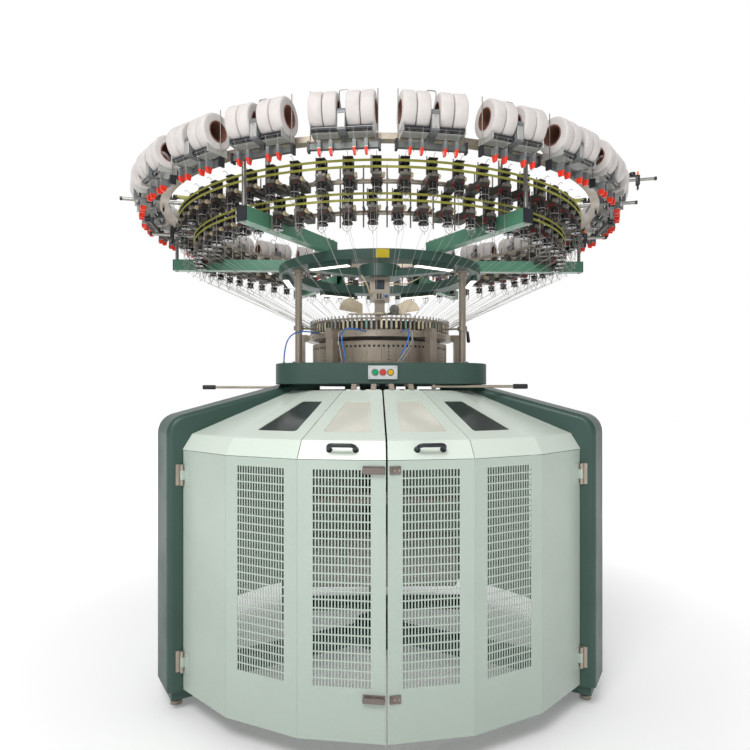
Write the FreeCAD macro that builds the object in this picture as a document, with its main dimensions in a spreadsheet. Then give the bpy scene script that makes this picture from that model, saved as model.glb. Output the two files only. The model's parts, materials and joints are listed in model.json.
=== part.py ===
"""Circular knitting machine: its construction, in millimetres.

The origin is on the floor on the needle cylinder's axis, +Z is up and the front faces -Y.
An azimuth is counted from the front towards +X, so a seed built at the front turns to its place about +Z.
"""

import math
import os
import re

import FreeCAD
import Part
from FreeCAD import Placement, Rotation, Vector

SIZES = {
    # guard sheets: a ring of flat facets, three open gaps for the legs
    "guard_radius": 1310,
    "guard_bottom": 131,
    "guard_top": 1393,
    "facet_angle": 18,
    "band_radius": 1261,
    "band_top": 1478,
    "roof_radius": 700,
    "roof_top": 1710,
    "skin": 3,
    "seam": 3,
    "split_gap": 8,
    # punched grille
    "slot_wide": 9.5,
    "slot_tall": 33,
    "slot_pitch": 15,
    "slot_rise": 39.2,
    "slot_columns": 18,
    "slot_rows": 25,
    "grille_low": 376,
    # windows in the sloped roof
    "window_outer": 1180,
    "window_inner": 840,
    "window_margin": 70,
    "window_corner": 15,
    "pane": 4,
    "pane_lap": 12,
    # legs and floor frame
    "leg_azimuth": 60,
    "leg_half": 135,
    "leg_outer": 1380,
    "leg_inner": 1080,
    "leg_reach": 500,
    "leg_arm_bottom": 1360,
    "leg_shoulder": 673,
    "leg_shoulder_drop": 186,
    "leg_corner": 110,
    "leg_edge": 30,
    "leg_wall": 14,
    "leg_cover_bottom": 120,
    "leg_floor": 180,
    "plinth_bottom": 66,
    "plinth_inset": 25,
    "pad_radius": 31,
    "pad_thick": 20,
    "stud_radius": 12,
    "stud_top": 118,
    "pad_inset": 75,
    "hub_radius": 160,
    "hub_top": 200,
    "beam_wide": 120,
    "beam_tall": 90,
    "beam_flange": 20,
    "beam_rise": 34,
    # bed plate
    "bed_bottom": 1746,
    "bed_top": 1865,
    "bed_half": 618,
    "bed_front": 625,
    "bed_corner": 200,
    "bed_back": 55,
    "bed_lip": 22,
    "bed_lip_radius": 425,
    "bed_deck": 30,
    "gear_room": 452,
    # knitting head
    "cylinder_radius": 381,
    "cylinder_wall": 25,
    "cylinder_top": 2012,
    "cylinder_gap": 2,
    "cam_width": 55,
    "cam_count": 32,
    "cam_base": 20,
    "cam_top": 2004,
    "cam_hole": 8,
    "cap_inner": 400,
    "cap_outer": 470,
    "cap_bottom": 2028,
    "cap_top": 2069,
    "cap_sections": 12,
    "post_radius": 512,
    "post_wide": 53,
    "post_deep": 44,
    "post_foot": 73,
    "carrier_count": 96,
    "carrier_radius": 441,
    "carrier_top": 2130,
    "guide_radius": 450,
    "guide_rod": 5,
    # gears
    "tooth_module": 5,
    "gear_teeth": 176,
    "gear_inner": 398,
    "gear_thick": 50,
    "pinion_teeth": 40,
    "shaft_radius": 20,
    "motor_radius": 70,
    "motor_tall": 270,
    # take-down
    "frame_half": 610,
    "frame_plate": 20,
    "frame_deep": 260,
    "frame_bottom": 300,
    "frame_top": 1330,
    "ring_beam": 30,
    "hanger_radius": 411,
    "hanger_rod": 12,
    "pivot_radius": 40,
    "roller_radius": 35,
    "roller_height": 1000,
    "roller_gap": 2,
    "journal": 15,
    "winder_height": 600,
    "cloth_radius": 175,
    "cloth_long": 1000,
    # upper frame
    "column_place": 579,
    "column_radius": 21,
    "flange_radius": 39,
    "flange_thick": 20,
    "ring_bottom": 2440,
    "ring_thick": 55,
    "ring_outer": 656,
    "ring_inner": 530,
    "hub_disc": 135,
    "spoke_wide": 70,
    "spoke_tall": 40,
    "spoke_rise": 8,
    "arm_wide": 60,
    "arm_tall": 70,
    "arm_wall": 4,
    "arm_start": 562,
    "arm_end": 1340,
    "cap_thick": 5,
    "light_long": 270,
    "light_wide": 42,
    "light_tall": 25,
    "light_place": 600,
    "centre_wide": 128,
    "centre_bottom": "=ring_bottom - 140",
    "neck_wide": 66,
    "neck_bottom": "=ring_bottom - 215",
    # lint fan
    "fan_hub": 45,
    "fan_thick": 14,
    "blade_inner": 112,
    "blade_outer": 265,
    "blade_low": "=ring_bottom - 218",
    "blade_high": "=ring_bottom - 110",
    # feeder rings and posts
    "lower_ring": 1040,
    "upper_ring": 1130,
    "upper_height": "=ring_bottom + 258",
    "tube_radius": 11,
    "tube_post": 12,
    "tube_post_top": "=ring_bottom + 410",
    "clamp_wide": 30,
    "rail_post": 10.5,
    "rail_post_place": 1326,
    # positive feeders
    "feeder_count": 60,
    "feeder_reach": 110,
    "feeder_wide": 44,
    "feeder_top": 75,
    "belt_high": 50,
    "belt_low": 20,
    "belt_tall": 11,
    "belt_thick": 2.5,
    "pulley_radius": 22,
    "wheel_radius": 26,
    "wheel_tall": 40,
    "wheel_low": 85,
    "spindle": 4,
    # elastane creel
    "rail_inner": 1315,
    "rail_outer": 1365,
    "rail_bottom": "=ring_bottom + 360",
    "rail_tall": 27,
    "rail_wall": 3,
    "rail_sections": 12,
    "unit_count": 24,
    "package_radius": 84,
    "package_wide": 58,
    "package_bore": 47.8,
    "package_near": 49,
    "package_far": 110,
    "package_place": 1437.5,
    "core_wall": 5.5,
    "core_lap": 1,
    "drum_radius": 9,
    "drum_half": 42.5,
    "drum_long": 265,
    "drum_height": "=ring_bottom + 360",
    "housing_wide": 36,
    "housing_top": "=ring_bottom + 440",
    "housing_bottom": "=ring_bottom + 345",
    "beam_long": 295,
    "beam_low": "=ring_bottom + 291",
    "beam_high": "=ring_bottom + 316",
    "beam_place": 1420,
    "beam_deep": 20,
    "sensor_wide": 15,
    "sensor_deep": 33,
    "sensor_low": "=ring_bottom + 282",
    # yarns
    "yarn_radius": 0.7,
    "yarn_drop": 18,
    "yarn_apart": 0.16,
    "yarn_step": 6,
    # outrigger tubes that keep the belts tight
    "outrigger_azimuth": 75,
    "outrigger_shift": 3.5,
    "outrigger_radius": 10,
    "outrigger_end": 1585,
    "outrigger_start": 1120,
    # controls
    "panel_wide": 162,
    "panel_tall": 75,
    "panel_thick": 16,
    "panel_place": 2,
    "panel_height": 1810,
    "button_radius": 14,
    "button_long": 19,
    "button_pitch": 43,
    "button_seat": 6,
    "lever_drop": 4,
    "washer_thick": 6,
    "lever_hub": 14,
    "lever_tall": 18,
    "lever_rod": 8,
    "lever_pin": 6,
    "grip_radius": 14,
    "grip_long": 82,
    "left_lever": 542,
    "right_lever": 530,
    # hinges, handles and latches
    "barrel": 9,
    "hinge_pin": 5,
    "hinge_tall": 110,
    "hinge_low": 281,
    "hinge_high": 1264,
    "knuckle": 30,
    "handle_wide": 141,
    "handle_tall": 56,
    "handle_rod": 9.5,
    "latch_long": 100,
    "latch_tall": 24,
    # clearances
    "running": 0.05,
    "air_gap": 0.3,
}

AXIS = Vector(0, 0, 1)
ORIGIN = Vector(0, 0, 0)
SIDES = (-1, 1)
ARM_AZIMUTHS = (-150, -90, -30, 30, 90, 150)

document = FreeCAD.newDocument("KnittingMachine")
sheet = document.addObject("Spreadsheet::Sheet", "Sizes")
nodes = []


def fill_sheet():
    for row, (word, value) in enumerate(SIZES.items(), start=1):
        sheet.set(f"A{row}", word)
        sheet.set(f"B{row}", str(value))
        sheet.setAlias(f"B{row}", word)
    document.recompute()


fill_sheet()


# ---- bound objects -------------------------------------------------------------------------------


def formula(text):
    """An expression that reads the sheet, from one written with bare aliases."""
    return re.sub(r"[a-z_]+", lambda word: f"Sizes.{word[0]}" if word[0] in SIZES else word[0], text)


def bind(thing, **texts):
    for name, text in texts.items():
        thing.setExpression(name, formula(text))
    return thing


def place(thing, x="0", y="0", z="0"):
    for axis, text in zip("xyz", (x, y, z)):
        thing.setExpression(f"Placement.Base.{axis}", formula(text))
    return thing


def aim(thing, axis):
    """Lays a primitive's own Z along X or Y."""
    turns = {"x": (Vector(0, 1, 0), 90), "y": (Vector(1, 0, 0), -90)}
    if axis in turns:
        thing.Placement = Placement(ORIGIN, Rotation(*turns[axis]))
    return thing


def cylinder(name, radius, height, at=("0", "0", "0"), axis="z"):
    thing = document.addObject("Part::Cylinder", name)
    aim(thing, axis)
    bind(thing, Radius=radius, Height=height)
    return place(thing, *at)


def block(name, sizes, centre):
    """A box given by its three lengths and the middle of its base."""
    thing = document.addObject("Part::Box", name)
    bind(thing, Length=sizes[0], Width=sizes[1], Height=sizes[2])
    return place(thing, f"{centre[0]} - ({sizes[0]}) / 2", f"{centre[1]} - ({sizes[1]}) / 2", centre[2])


def fuse(name, *things):
    thing = document.addObject("Part::MultiFuse", name)
    thing.Shapes = list(things)
    thing.Refine = True
    return thing


def cut(name, base, *tools):
    thing = document.addObject("Part::Cut", name)
    thing.Base = base
    thing.Tool = tools[0] if len(tools) == 1 else fuse(name + "_tools", *tools)
    return thing


def node(label, thing):
    """Marks an object as a finished sub-part; its label names its file."""
    thing.Label = label
    nodes.append(thing)
    return thing


def solids_node(label, solids):
    """A sub-part of repeated or free-form solids."""
    thing = document.addObject("Part::Feature", label)
    thing.Shape = Part.Compound(solids) if len(solids) > 1 else solids[0]
    return node(label, thing)


def shape_of(thing):
    document.recompute()
    return thing.Shape


# ---- plain shapes --------------------------------------------------------------------------------


def around(azimuth, radius, height=0):
    angle = math.radians(azimuth)
    return Vector(radius * math.sin(angle), -radius * math.cos(angle), height)


def turned(shape, azimuth):
    return shape.rotated(ORIGIN, AXIS, azimuth)


def ring_of(shape, azimuths):
    return [turned(shape, azimuth) for azimuth in azimuths]


def evenly(count, start=0.0):
    return [start + 360.0 * index / count for index in range(count)]


def front_box(wide, inner, outer, low, high, across=0):
    """A box that crosses the front plane, from one radius to another."""
    return Part.makeBox(wide, outer - inner, high - low, Vector(across - wide / 2, -outer, low))


def upright(radius, low, high, x=0, y=0):
    return Part.makeCylinder(radius, high - low, Vector(x, y, low))


def level(radius, start, end):
    """A round bar between two points."""
    return Part.makeCylinder(radius, (end - start).Length, start, end - start)


def band(inner, outer, low, high, start=0, sweep=360):
    """A ring, or a part of one, of rectangular section."""
    section = Part.Face(Part.makePolygon([
        around(start, inner, low),
        around(start, outer, low),
        around(start, outer, high),
        around(start, inner, high),
        around(start, inner, low),
    ]))
    return section.revolve(ORIGIN, AXIS, sweep)


def sections(profile, count, start=0):
    """A ring of a section's profile, cut into equal lengths."""
    sweep = 360.0 / count
    return [turned(profile.revolve(ORIGIN, AXIS, sweep), start + index * sweep) for index in range(count)]


def radial_face(points):
    """A face in the front plane from pairs of radius and height."""
    corners = [around(0, radius, height) for radius, height in points]
    return Part.Face(Part.makePolygon(corners + corners[:1]))


def cutter(shape, tools):
    return shape.cut(Part.Compound(tools)) if tools else shape


# ---- guard facets --------------------------------------------------------------------------------


class Facet:
    """A flat panel of the guard, from a lower corner radius to an upper one."""

    def __init__(self, azimuth, low_radius, low, high_radius, high):
        half = math.radians(sheet.facet_angle / 2)
        self.low_half = low_radius * math.sin(half)
        self.high_half = high_radius * math.sin(half)
        outwards = around(azimuth, 1)
        foot = outwards * (low_radius * math.cos(half)) + Vector(0, 0, low)
        head = outwards * (high_radius * math.cos(half)) + Vector(0, 0, high)
        self.long = (head - foot).Length
        along = around(azimuth + 90, 1)
        rise = (head - foot).normalize()
        out = along.cross(rise)
        self.place = Placement(FreeCAD.Matrix(
            along.x, rise.x, out.x, foot.x,
            along.y, rise.y, out.y, foot.y,
            along.z, rise.z, out.z, foot.z,
            0, 0, 0, 1,
        ))

    def half_at(self, height):
        return self.low_half + (self.high_half - self.low_half) * height / self.long

    def panel(self, trims=(0, 0), holes=()):
        """The sheet, with its two side edges trimmed back and holes punched through it."""
        mitre = sheet.skin * math.tan(math.radians(sheet.facet_angle / 2))
        left, right = (trim + mitre for trim in trims)
        outline = [
            Vector(left - self.low_half, 0, 0),
            Vector(self.low_half - right, 0, 0),
            Vector(self.high_half - right, self.long, 0),
            Vector(left - self.high_half, self.long, 0),
        ]
        wires = [Part.makePolygon(outline + outline[:1]), *holes]
        face = Part.makeFace(wires, "Part::FaceMakerCheese")
        return self.put(face.extrude(Vector(0, 0, -sheet.skin)))

    def put(self, shape):
        return shape.transformed(self.place.toMatrix(), True)


def wall_facet(azimuth):
    radius = sheet.guard_radius
    return Facet(azimuth, radius, sheet.guard_bottom, radius, sheet.guard_top)


def band_facet(azimuth):
    return Facet(azimuth, sheet.guard_radius, sheet.guard_top + sheet.seam, sheet.band_radius, sheet.band_top)


def slope_facet(azimuth):
    return Facet(azimuth, sheet.band_radius, sheet.band_top, sheet.roof_radius, sheet.roof_top)


def rectangle(x, y, wide, tall):
    corners = [Vector(x, y, 0), Vector(x + wide, y, 0), Vector(x + wide, y + tall, 0), Vector(x, y + tall, 0)]
    return Part.makePolygon(corners + corners[:1])


def grille():
    """The punched slots of one wall facet, in the facet's own plane."""
    columns = int(sheet.slot_columns)
    left = -((columns - 1) * sheet.slot_pitch + sheet.slot_wide) / 2
    low = sheet.grille_low - sheet.guard_bottom
    return [
        rectangle(
            left + column * sheet.slot_pitch, low + row * sheet.slot_rise, sheet.slot_wide, sheet.slot_tall
        )
        for column in range(columns)
        for row in range(int(sheet.slot_rows))
    ]


def window_block(facet, lap, low, high):
    """A rounded window blank in the facet's plane, grown by a lap all round."""
    scale = facet.long / (sheet.band_radius - sheet.roof_radius)
    foot = (sheet.band_radius - sheet.window_outer) * scale
    head = (sheet.band_radius - sheet.window_inner) * scale
    low_half = facet.half_at(foot) - sheet.window_margin + lap
    high_half = facet.half_at(head) - sheet.window_margin + lap
    corners = [
        Vector(-low_half, foot - lap, low),
        Vector(low_half, foot - lap, low),
        Vector(high_half, head + lap, low),
        Vector(-high_half, head + lap, low),
    ]
    blank = Part.Face(Part.makePolygon(corners + corners[:1])).extrude(Vector(0, 0, high - low))
    posts = [edge for edge in blank.Edges if abs(edge.tangentAt(edge.FirstParameter).z) > 0.9]
    return blank.makeFillet(sheet.window_corner, posts)


def windowed_slope(azimuth, trims):
    facet = slope_facet(azimuth)
    hole = facet.put(window_block(facet, 0, -2 * sheet.skin, sheet.skin))
    return facet.panel(trims).cut(hole)


def window_pane(azimuth):
    """A pane that laps the sheet from inside."""
    facet = slope_facet(azimuth)
    return facet.put(window_block(facet, sheet.pane_lap, -sheet.skin - sheet.pane, -sheet.skin))


def leg_azimuths():
    return (-sheet.leg_azimuth, sheet.leg_azimuth, 180)


def leg_room():
    """The straight slots that the legs take out of the fixed sheets."""
    slot = front_box(2 * sheet.leg_half, 0, 2 * sheet.guard_radius, 0, 2 * sheet.roof_top)
    return ring_of(slot, leg_azimuths())


def rear_azimuths(side):
    """The middles of the facets behind the side leg."""
    gap = (360 - 18 * sheet.facet_angle) / 3
    first = sheet.leg_azimuth + gap / 2 + sheet.facet_angle / 2
    return [side * (first + index * sheet.facet_angle) for index in range(6)]


def make_fixed_guards():
    rooms = Part.Compound(leg_room())
    slack = sheet.skin
    walls, roofs, panes = [], [], []
    for side in SIDES:
        rear = rear_azimuths(side)
        for azimuth in rear:
            holes = grille() if azimuth == rear[2] else ()
            ends = (-slack, -slack) if azimuth in (rear[0], rear[-1]) else (0, 0)
            walls.append(wall_facet(azimuth).panel(ends, holes).cut(rooms))
            roofs.append(band_facet(azimuth).panel(ends).cut(rooms))
            roofs.append(slope_facet(azimuth).panel(ends).cut(rooms))
        near, far = (side * sheet.facet_angle * step for step in (1.5, 2.5))
        edge = (sheet.seam / 2, 0) if side > 0 else (0, sheet.seam / 2)
        leg_end = (0, -slack) if side > 0 else (-slack, 0)
        roofs.append(band_facet(near).panel(edge))
        roofs.append(windowed_slope(near, edge))
        roofs.append(band_facet(far).panel(leg_end).cut(rooms))
        roofs.append(slope_facet(far).panel(leg_end).cut(rooms))
        panes.append(window_pane(near))
    solids_node("rear_guards", [solid for wall in walls for solid in wall.Solids])
    solids_node("roof_panels", [solid for roof in roofs for solid in roof.Solids])
    solids_node("roof_windows", panes)


# ---- doors, lids and their hinges ----------------------------------------------------------------


def hinge_place(side):
    """The door hinge's axis: the last facet's outer corner, then along the sheet and away from it."""
    half = 3 * sheet.facet_angle
    corner = around(side * half, sheet.guard_radius)
    middle = side * (half - sheet.facet_angle / 2)
    inwards = around(middle - side * 90, 1)
    outwards = around(middle, 1)
    return corner + inwards * 14 + outwards * (sheet.barrel + sheet.skin + 0.5), inwards, outwards


def door_leaf(side, height):
    """The door's own knuckle and the plate that holds it."""
    pivot, inwards, outwards = hinge_place(side)
    low = height - sheet.hinge_tall / 2 + sheet.knuckle + sheet.air_gap
    tall = sheet.hinge_tall - 2 * sheet.knuckle - 2 * sheet.air_gap
    knuckle = Part.makeCylinder(sheet.barrel, tall, pivot + Vector(0, 0, low))
    plate_start = pivot + inwards * (sheet.barrel + 2) - outwards * (sheet.barrel + sheet.skin + 0.5)
    plate = slab(
        plate_start, inwards * 45, outwards * sheet.skin, height - sheet.hinge_tall / 2, sheet.hinge_tall
    )
    web_start = pivot - outwards * (sheet.barrel + sheet.skin + 0.5)
    web = slab(web_start, inwards * (sheet.barrel + 5), outwards * (sheet.barrel + sheet.skin), low, tall)
    bore = Part.makeCylinder(sheet.hinge_pin + sheet.running, 3 * tall, pivot + Vector(0, 0, low - tall))
    return plate.fuse(web).fuse(knuckle).cut(bore).removeSplitter()


def slab(start, along, through, low, tall):
    """An upright plate from a corner, along one way and through another."""
    foot = Vector(start.x, start.y, low)
    face = Part.Face(Part.makePolygon([foot, foot + along, foot + along + through, foot + through, foot]))
    return face.extrude(Vector(0, 0, tall))


def fixed_leaf(side, height):
    """The leg's two knuckles, their pin and the plate against the leg's flank."""
    pivot, _, _ = hinge_place(side)
    leg_out = around(side * sheet.leg_azimuth, 1)
    to_leg = around(side * (sheet.leg_azimuth + 90), 1)
    flank = sheet.leg_half - abs(pivot.dot(to_leg))
    flank_point = pivot - to_leg * flank
    low = height - sheet.hinge_tall / 2
    plate_start = flank_point - leg_out * 6
    plate = slab(plate_start, leg_out * 34, to_leg * -sheet.skin, low, sheet.hinge_tall)
    pieces = [Part.makeCylinder(sheet.hinge_pin, sheet.hinge_tall, pivot + Vector(0, 0, low)), plate]
    for start in (low, low + sheet.hinge_tall - sheet.knuckle):
        pieces.append(Part.makeCylinder(sheet.barrel, sheet.knuckle, pivot + Vector(0, 0, start)))
        pieces.append(slab(pivot, to_leg * -flank, leg_out * sheet.skin, start, sheet.knuckle))
    return pieces[0].fuse(pieces[1:]).removeSplitter()


def hinge_heights():
    return (sheet.hinge_low, sheet.hinge_high)


def make_doors():
    """Each door is three flat sheets and two hinge leaves; the two sheets by the split are grilles."""
    for side, label in zip(SIDES, ("door_left", "door_right")):
        solids = []
        for step in range(3):
            azimuth = side * sheet.facet_angle * (step + 0.5)
            near = sheet.split_gap / 2 if step == 0 else 0
            far = 2 * sheet.seam if step == 2 else 0
            trims = (near, far) if side > 0 else (far, near)
            solids.append(wall_facet(azimuth).panel(trims, grille() if step < 2 else ()))
        solids += [door_leaf(side, height) for height in hinge_heights()]
        solids_node(label, solids)


def lid_hinge_place(side):
    facet = slope_facet(side * sheet.facet_angle / 2)
    head = facet.place.multVec(Vector(0, facet.long, 0))
    outwards = around(side * sheet.facet_angle / 2, 1)
    along = around(side * sheet.facet_angle / 2 + 90, 1)
    pivot = head - outwards * (sheet.barrel + 2) - Vector(0, 0, sheet.skin)
    return pivot, along, outwards


def lid_knuckle(side, shift):
    """A rolled eye on the lid's top edge, outside its bracket."""
    pivot, along, outwards = lid_hinge_place(side)
    start = pivot + along * shift
    eye = level(sheet.barrel - 1, start, start + along * 26)
    corners = [
        Vector(0, 0, -1), outwards * 17 + Vector(0, 0, -1.5), outwards * 17 + Vector(0, 0, 2), Vector(0, 0, 4)
    ]
    face = Part.Face(Part.makePolygon([start + corner for corner in corners + corners[:1]]))
    web = face.extrude(along * 26)
    bore = level(sheet.hinge_pin - 1 + sheet.running, start - along * 9, start + along * 40)
    return eye.fuse(web).cut(bore).removeSplitter()


def lid_bracket(side, shift):
    """A fixed arm under the bed plate that holds the lid's pin."""
    pivot, along, outwards = lid_hinge_place(side)
    middle = pivot + along * shift
    back = sheet.bed_bottom - pivot.z
    start = middle - along * 14
    profile = [
        Vector(0, 0, -6),
        Vector(0, 0, 9),
        outwards * -25 + Vector(0, 0, back),
        outwards * -120 + Vector(0, 0, back),
        outwards * -120 + Vector(0, 0, back - 12),
        outwards * -40 + Vector(0, 0, back - 12),
        outwards * -12 + Vector(0, 0, -6),
    ]
    face = Part.Face(Part.makePolygon([start + corner for corner in profile + profile[:1]]))
    arm = face.extrude(along * 28)
    eye = level(sheet.barrel, start, start + along * 28)
    pin = level(sheet.hinge_pin - 1, middle - along * 44, middle + along * 44)
    return arm.fuse([eye, pin]).removeSplitter()


LID_BRACKETS = (-55, 55)


def make_lids():
    for side, word in zip(SIDES, ("left", "right")):
        middle = side * sheet.facet_angle / 2
        trims = (sheet.split_gap / 2, sheet.seam / 2)[::side]
        eyes = [lid_knuckle(side, shift + end) for shift in LID_BRACKETS for end in (-41, 15)]
        top = windowed_slope(middle, trims).fuse(eyes).removeSplitter()
        solids_node(f"lid_{word}", [top, band_facet(middle).panel(trims)])
        solids_node(f"lid_window_{word}", [window_pane(middle)])
        solids_node(f"lid_handle_{word}", [bridge_handle(middle)])


def bridge_handle(azimuth):
    """A round bridge handle that stands on the lid's front band."""
    facet = band_facet(azimuth)
    rod = sheet.handle_rod
    half = sheet.handle_wide / 2 - rod
    tall = sheet.handle_tall - rod
    bend = 22
    middle = facet.long / 2
    path = [
        Vector(-half, middle, 0),
        Vector(-half, middle, tall - bend),
        Vector(-half + bend, middle, tall),
        Vector(half - bend, middle, tall),
        Vector(half, middle, tall - bend),
        Vector(half, middle, 0),
    ]
    corner = bend * (1 - math.sqrt(0.5))
    left_arc = Part.Arc(path[1], Vector(-half + corner, middle, tall - corner), path[2])
    right_arc = Part.Arc(path[3], Vector(half - corner, middle, tall - corner), path[4])
    edges = [
        Part.makeLine(path[0], path[1]),
        left_arc.toShape(),
        Part.makeLine(path[2], path[3]),
        right_arc.toShape(),
        Part.makeLine(path[4], path[5]),
    ]
    ring = Part.Wire(Part.makeCircle(rod, path[0], Vector(0, 0, 1)))
    bar = Part.Wire(edges).makePipeShell([ring], True, True)
    feet = [Part.makeCylinder(rod + 5, 4, Vector(side * half, middle, 0)) for side in SIDES]
    return facet.put(bar.fuse(feet).removeSplitter())


def make_guard_hinges():
    leaves = [fixed_leaf(side, height) for side in SIDES for height in hinge_heights()]
    brackets = [lid_bracket(side, shift) for side in SIDES for shift in LID_BRACKETS]
    solids_node("guard_hinges", leaves + brackets)


def make_latches():
    """Quarter-turn latches on the left door, beside the split."""
    facet = wall_facet(-sheet.facet_angle / 2)
    for label, height in (("latch_upper", sheet.guard_top - 43), ("latch_lower", sheet.guard_bottom + 199)):
        across = facet.low_half - sheet.latch_long / 2 - 8
        up = height - sheet.guard_bottom
        boss = Part.makeCylinder(13, 16, Vector(across, up, sheet.air_gap))
        bar = Part.makeBox(
            sheet.latch_long,
            sheet.latch_tall,
            10,
            Vector(across - sheet.latch_long / 2, up - sheet.latch_tall / 2, 12),
        )
        ends = [edge for edge in bar.Edges if abs(edge.tangentAt(edge.FirstParameter).z) > 0.9]
        solids_node(label, [facet.put(bar.makeFillet(8, ends).fuse(boss).removeSplitter())])


# ---- legs, feet and floor frame ------------------------------------------------------------------


def leg_profile(inset, inner, reach, low):
    """The leg's side outline, drawn in from its outer faces by a wall."""
    shoulder = Vector(0, -sheet.leg_shoulder, sheet.bed_bottom - inset)
    corner = Vector(0, inset - sheet.leg_outer, sheet.bed_bottom - sheet.leg_shoulder_drop - inset)
    radius = sheet.leg_corner - inset
    up = (shoulder - corner).normalize()
    down = Vector(0, 0, -1)
    half = up.getAngle(down) / 2
    run = radius / math.tan(half)
    middle = corner + (up + down).normalize() * (radius / math.sin(half) - radius)
    bend = Part.Arc(corner + up * run, middle, corner + down * run).toShape()
    points = [
        corner + down * run,
        Vector(0, inset - sheet.leg_outer, low),
        Vector(0, -inner, low),
        Vector(0, -inner, sheet.leg_arm_bottom + inset),
        Vector(0, -reach, sheet.leg_arm_bottom + inset),
        Vector(0, -reach, sheet.bed_bottom - inset),
        shoulder,
        corner + up * run,
    ]
    lines = [Part.makeLine(start, end) for start, end in zip(points, points[1:])]
    return Part.Face(Part.Wire(lines + [bend]))


def leg_solid():
    """A hollow casting, open towards the machine's axis."""
    half = sheet.leg_half
    outer = leg_profile(0, sheet.leg_inner, sheet.leg_reach, sheet.leg_cover_bottom)
    outer.translate(Vector(-half, 0, 0))
    body = outer.extrude(Vector(2 * half, 0, 0))
    flanks = [edge for edge in body.Edges if rounded_edge(edge)]
    body = body.makeFillet(sheet.leg_edge, flanks)
    inside = leg_profile(sheet.leg_wall, sheet.leg_inner - 40, sheet.leg_reach - 40, sheet.leg_floor)
    room = half - sheet.leg_wall
    inside.translate(Vector(-room, 0, 0))
    plinth_half = half - sheet.plinth_inset
    plinth = front_box(
        2 * plinth_half,
        sheet.leg_inner + sheet.plinth_inset,
        sheet.leg_outer - sheet.plinth_inset,
        sheet.plinth_bottom,
        sheet.leg_cover_bottom,
    )
    body = body.cut(inside.extrude(Vector(2 * room, 0, 0))).fuse(plinth)
    sockets = [
        upright(
            sheet.stud_radius + sheet.air_gap, 0, sheet.stud_top + 5, 0, -radius
        ) for radius in foot_radii()
    ]
    return cutter(body, sockets).removeSplitter()


def rounded_edge(edge):
    """True for the long outer edges of the flanks: the slope, the corner and the outer upright."""
    box = edge.BoundBox
    beyond = -box.YMin > sheet.leg_shoulder + 50 and box.ZMax > sheet.leg_cover_bottom + 50
    within = box.ZMax < sheet.bed_bottom + 1 and -box.YMin > sheet.leg_outer - 200
    return box.XLength < 1 and beyond and -box.YMax > sheet.leg_shoulder - 1 and within


def foot_radii():
    return (sheet.leg_inner + sheet.pad_inset, sheet.leg_outer - sheet.pad_inset)


def motor_place():
    """The pinion's and the motor's distance behind the axis."""
    return sheet.tooth_module * (sheet.gear_teeth + sheet.pinion_teeth) / 2


def make_legs():
    leg = leg_solid()
    legs = ring_of(leg, leg_azimuths())
    motor_room = upright(
        sheet.motor_radius + 20, sheet.bed_bottom - 60, sheet.bed_bottom + 1, 0, motor_place()
    )
    solids_node("legs", legs[:2] + [legs[2].cut(motor_room)])
    pad = cylinder("pad", "pad_radius", "pad_thick")
    stud = cylinder("stud", "stud_radius", "stud_top - pad_thick / 2", ("0", "0", "pad_thick / 2"))
    foot = shape_of(fuse("foot", pad, stud))
    feet = [foot.translated(around(azimuth, radius)) for azimuth in leg_azimuths() for radius in foot_radii()]
    solids_node("levelling_feet", feet)


def make_base_frame():
    hub = cylinder("floor_hub", "hub_radius", "hub_top - plinth_bottom", ("0", "0", "plinth_bottom"))
    pieces = [hub]
    for index, azimuth in enumerate(leg_azimuths()):
        beam = document.addObject("Part::Box", f"beam_{index}")
        bind(beam, Length="beam_wide", Width="leg_inner", Height="beam_tall")
        flange = document.addObject("Part::Box", f"beam_flange_{index}")
        bind(flange, Length="2 * beam_wide", Width="beam_flange", Height="beam_tall")
        for thing, wide, reach in (
            (beam, sheet.beam_wide, sheet.leg_inner), (flange, 2 * sheet.beam_wide, 0)
        ):
            start = Vector(-wide / 2, -sheet.leg_inner, sheet.plinth_bottom + sheet.beam_rise)
            turn = Rotation(AXIS, azimuth)
            thing.Placement = Placement(turn.multVec(start), turn)
        pieces += [beam, flange]
    bore = cylinder("floor_bore", "pivot_radius + running", "hub_top", ("0", "0", "plinth_bottom + 24"))
    node("base_frame", cut("floor_frame", fuse("floor_beams", *pieces), bore))


# ---- bed plate and knitting head -----------------------------------------------------------------


def bed_outline():
    """A plan with a flat front, two round corners and a round back."""
    half = sheet.bed_half
    corner = sheet.bed_corner
    flat = half - corner
    front = -sheet.bed_front
    centre = front + corner
    bend = corner * math.sqrt(0.5)
    edges = [Part.makeLine(Vector(-flat, front, 0), Vector(flat, front, 0))]
    right = Part.Arc(Vector(flat, front, 0), Vector(flat + bend, centre - bend, 0), Vector(half, centre, 0))
    edges.append(right.toShape())
    back = sheet.bed_back
    edges.append(Part.makeLine(Vector(half, centre, 0), Vector(half, back, 0)))
    edges.append(Part.Arc(Vector(half, back, 0), Vector(0, half + back, 0), Vector(-half, back, 0)).toShape())
    edges.append(Part.makeLine(Vector(-half, back, 0), Vector(-half, centre, 0)))
    left = Part.Arc(Vector(-half, centre, 0), Vector(-flat - bend, centre - bend, 0), Vector(-flat, front, 0))
    edges.append(left.toShape())
    return Part.Face(Part.Wire(edges))


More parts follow.
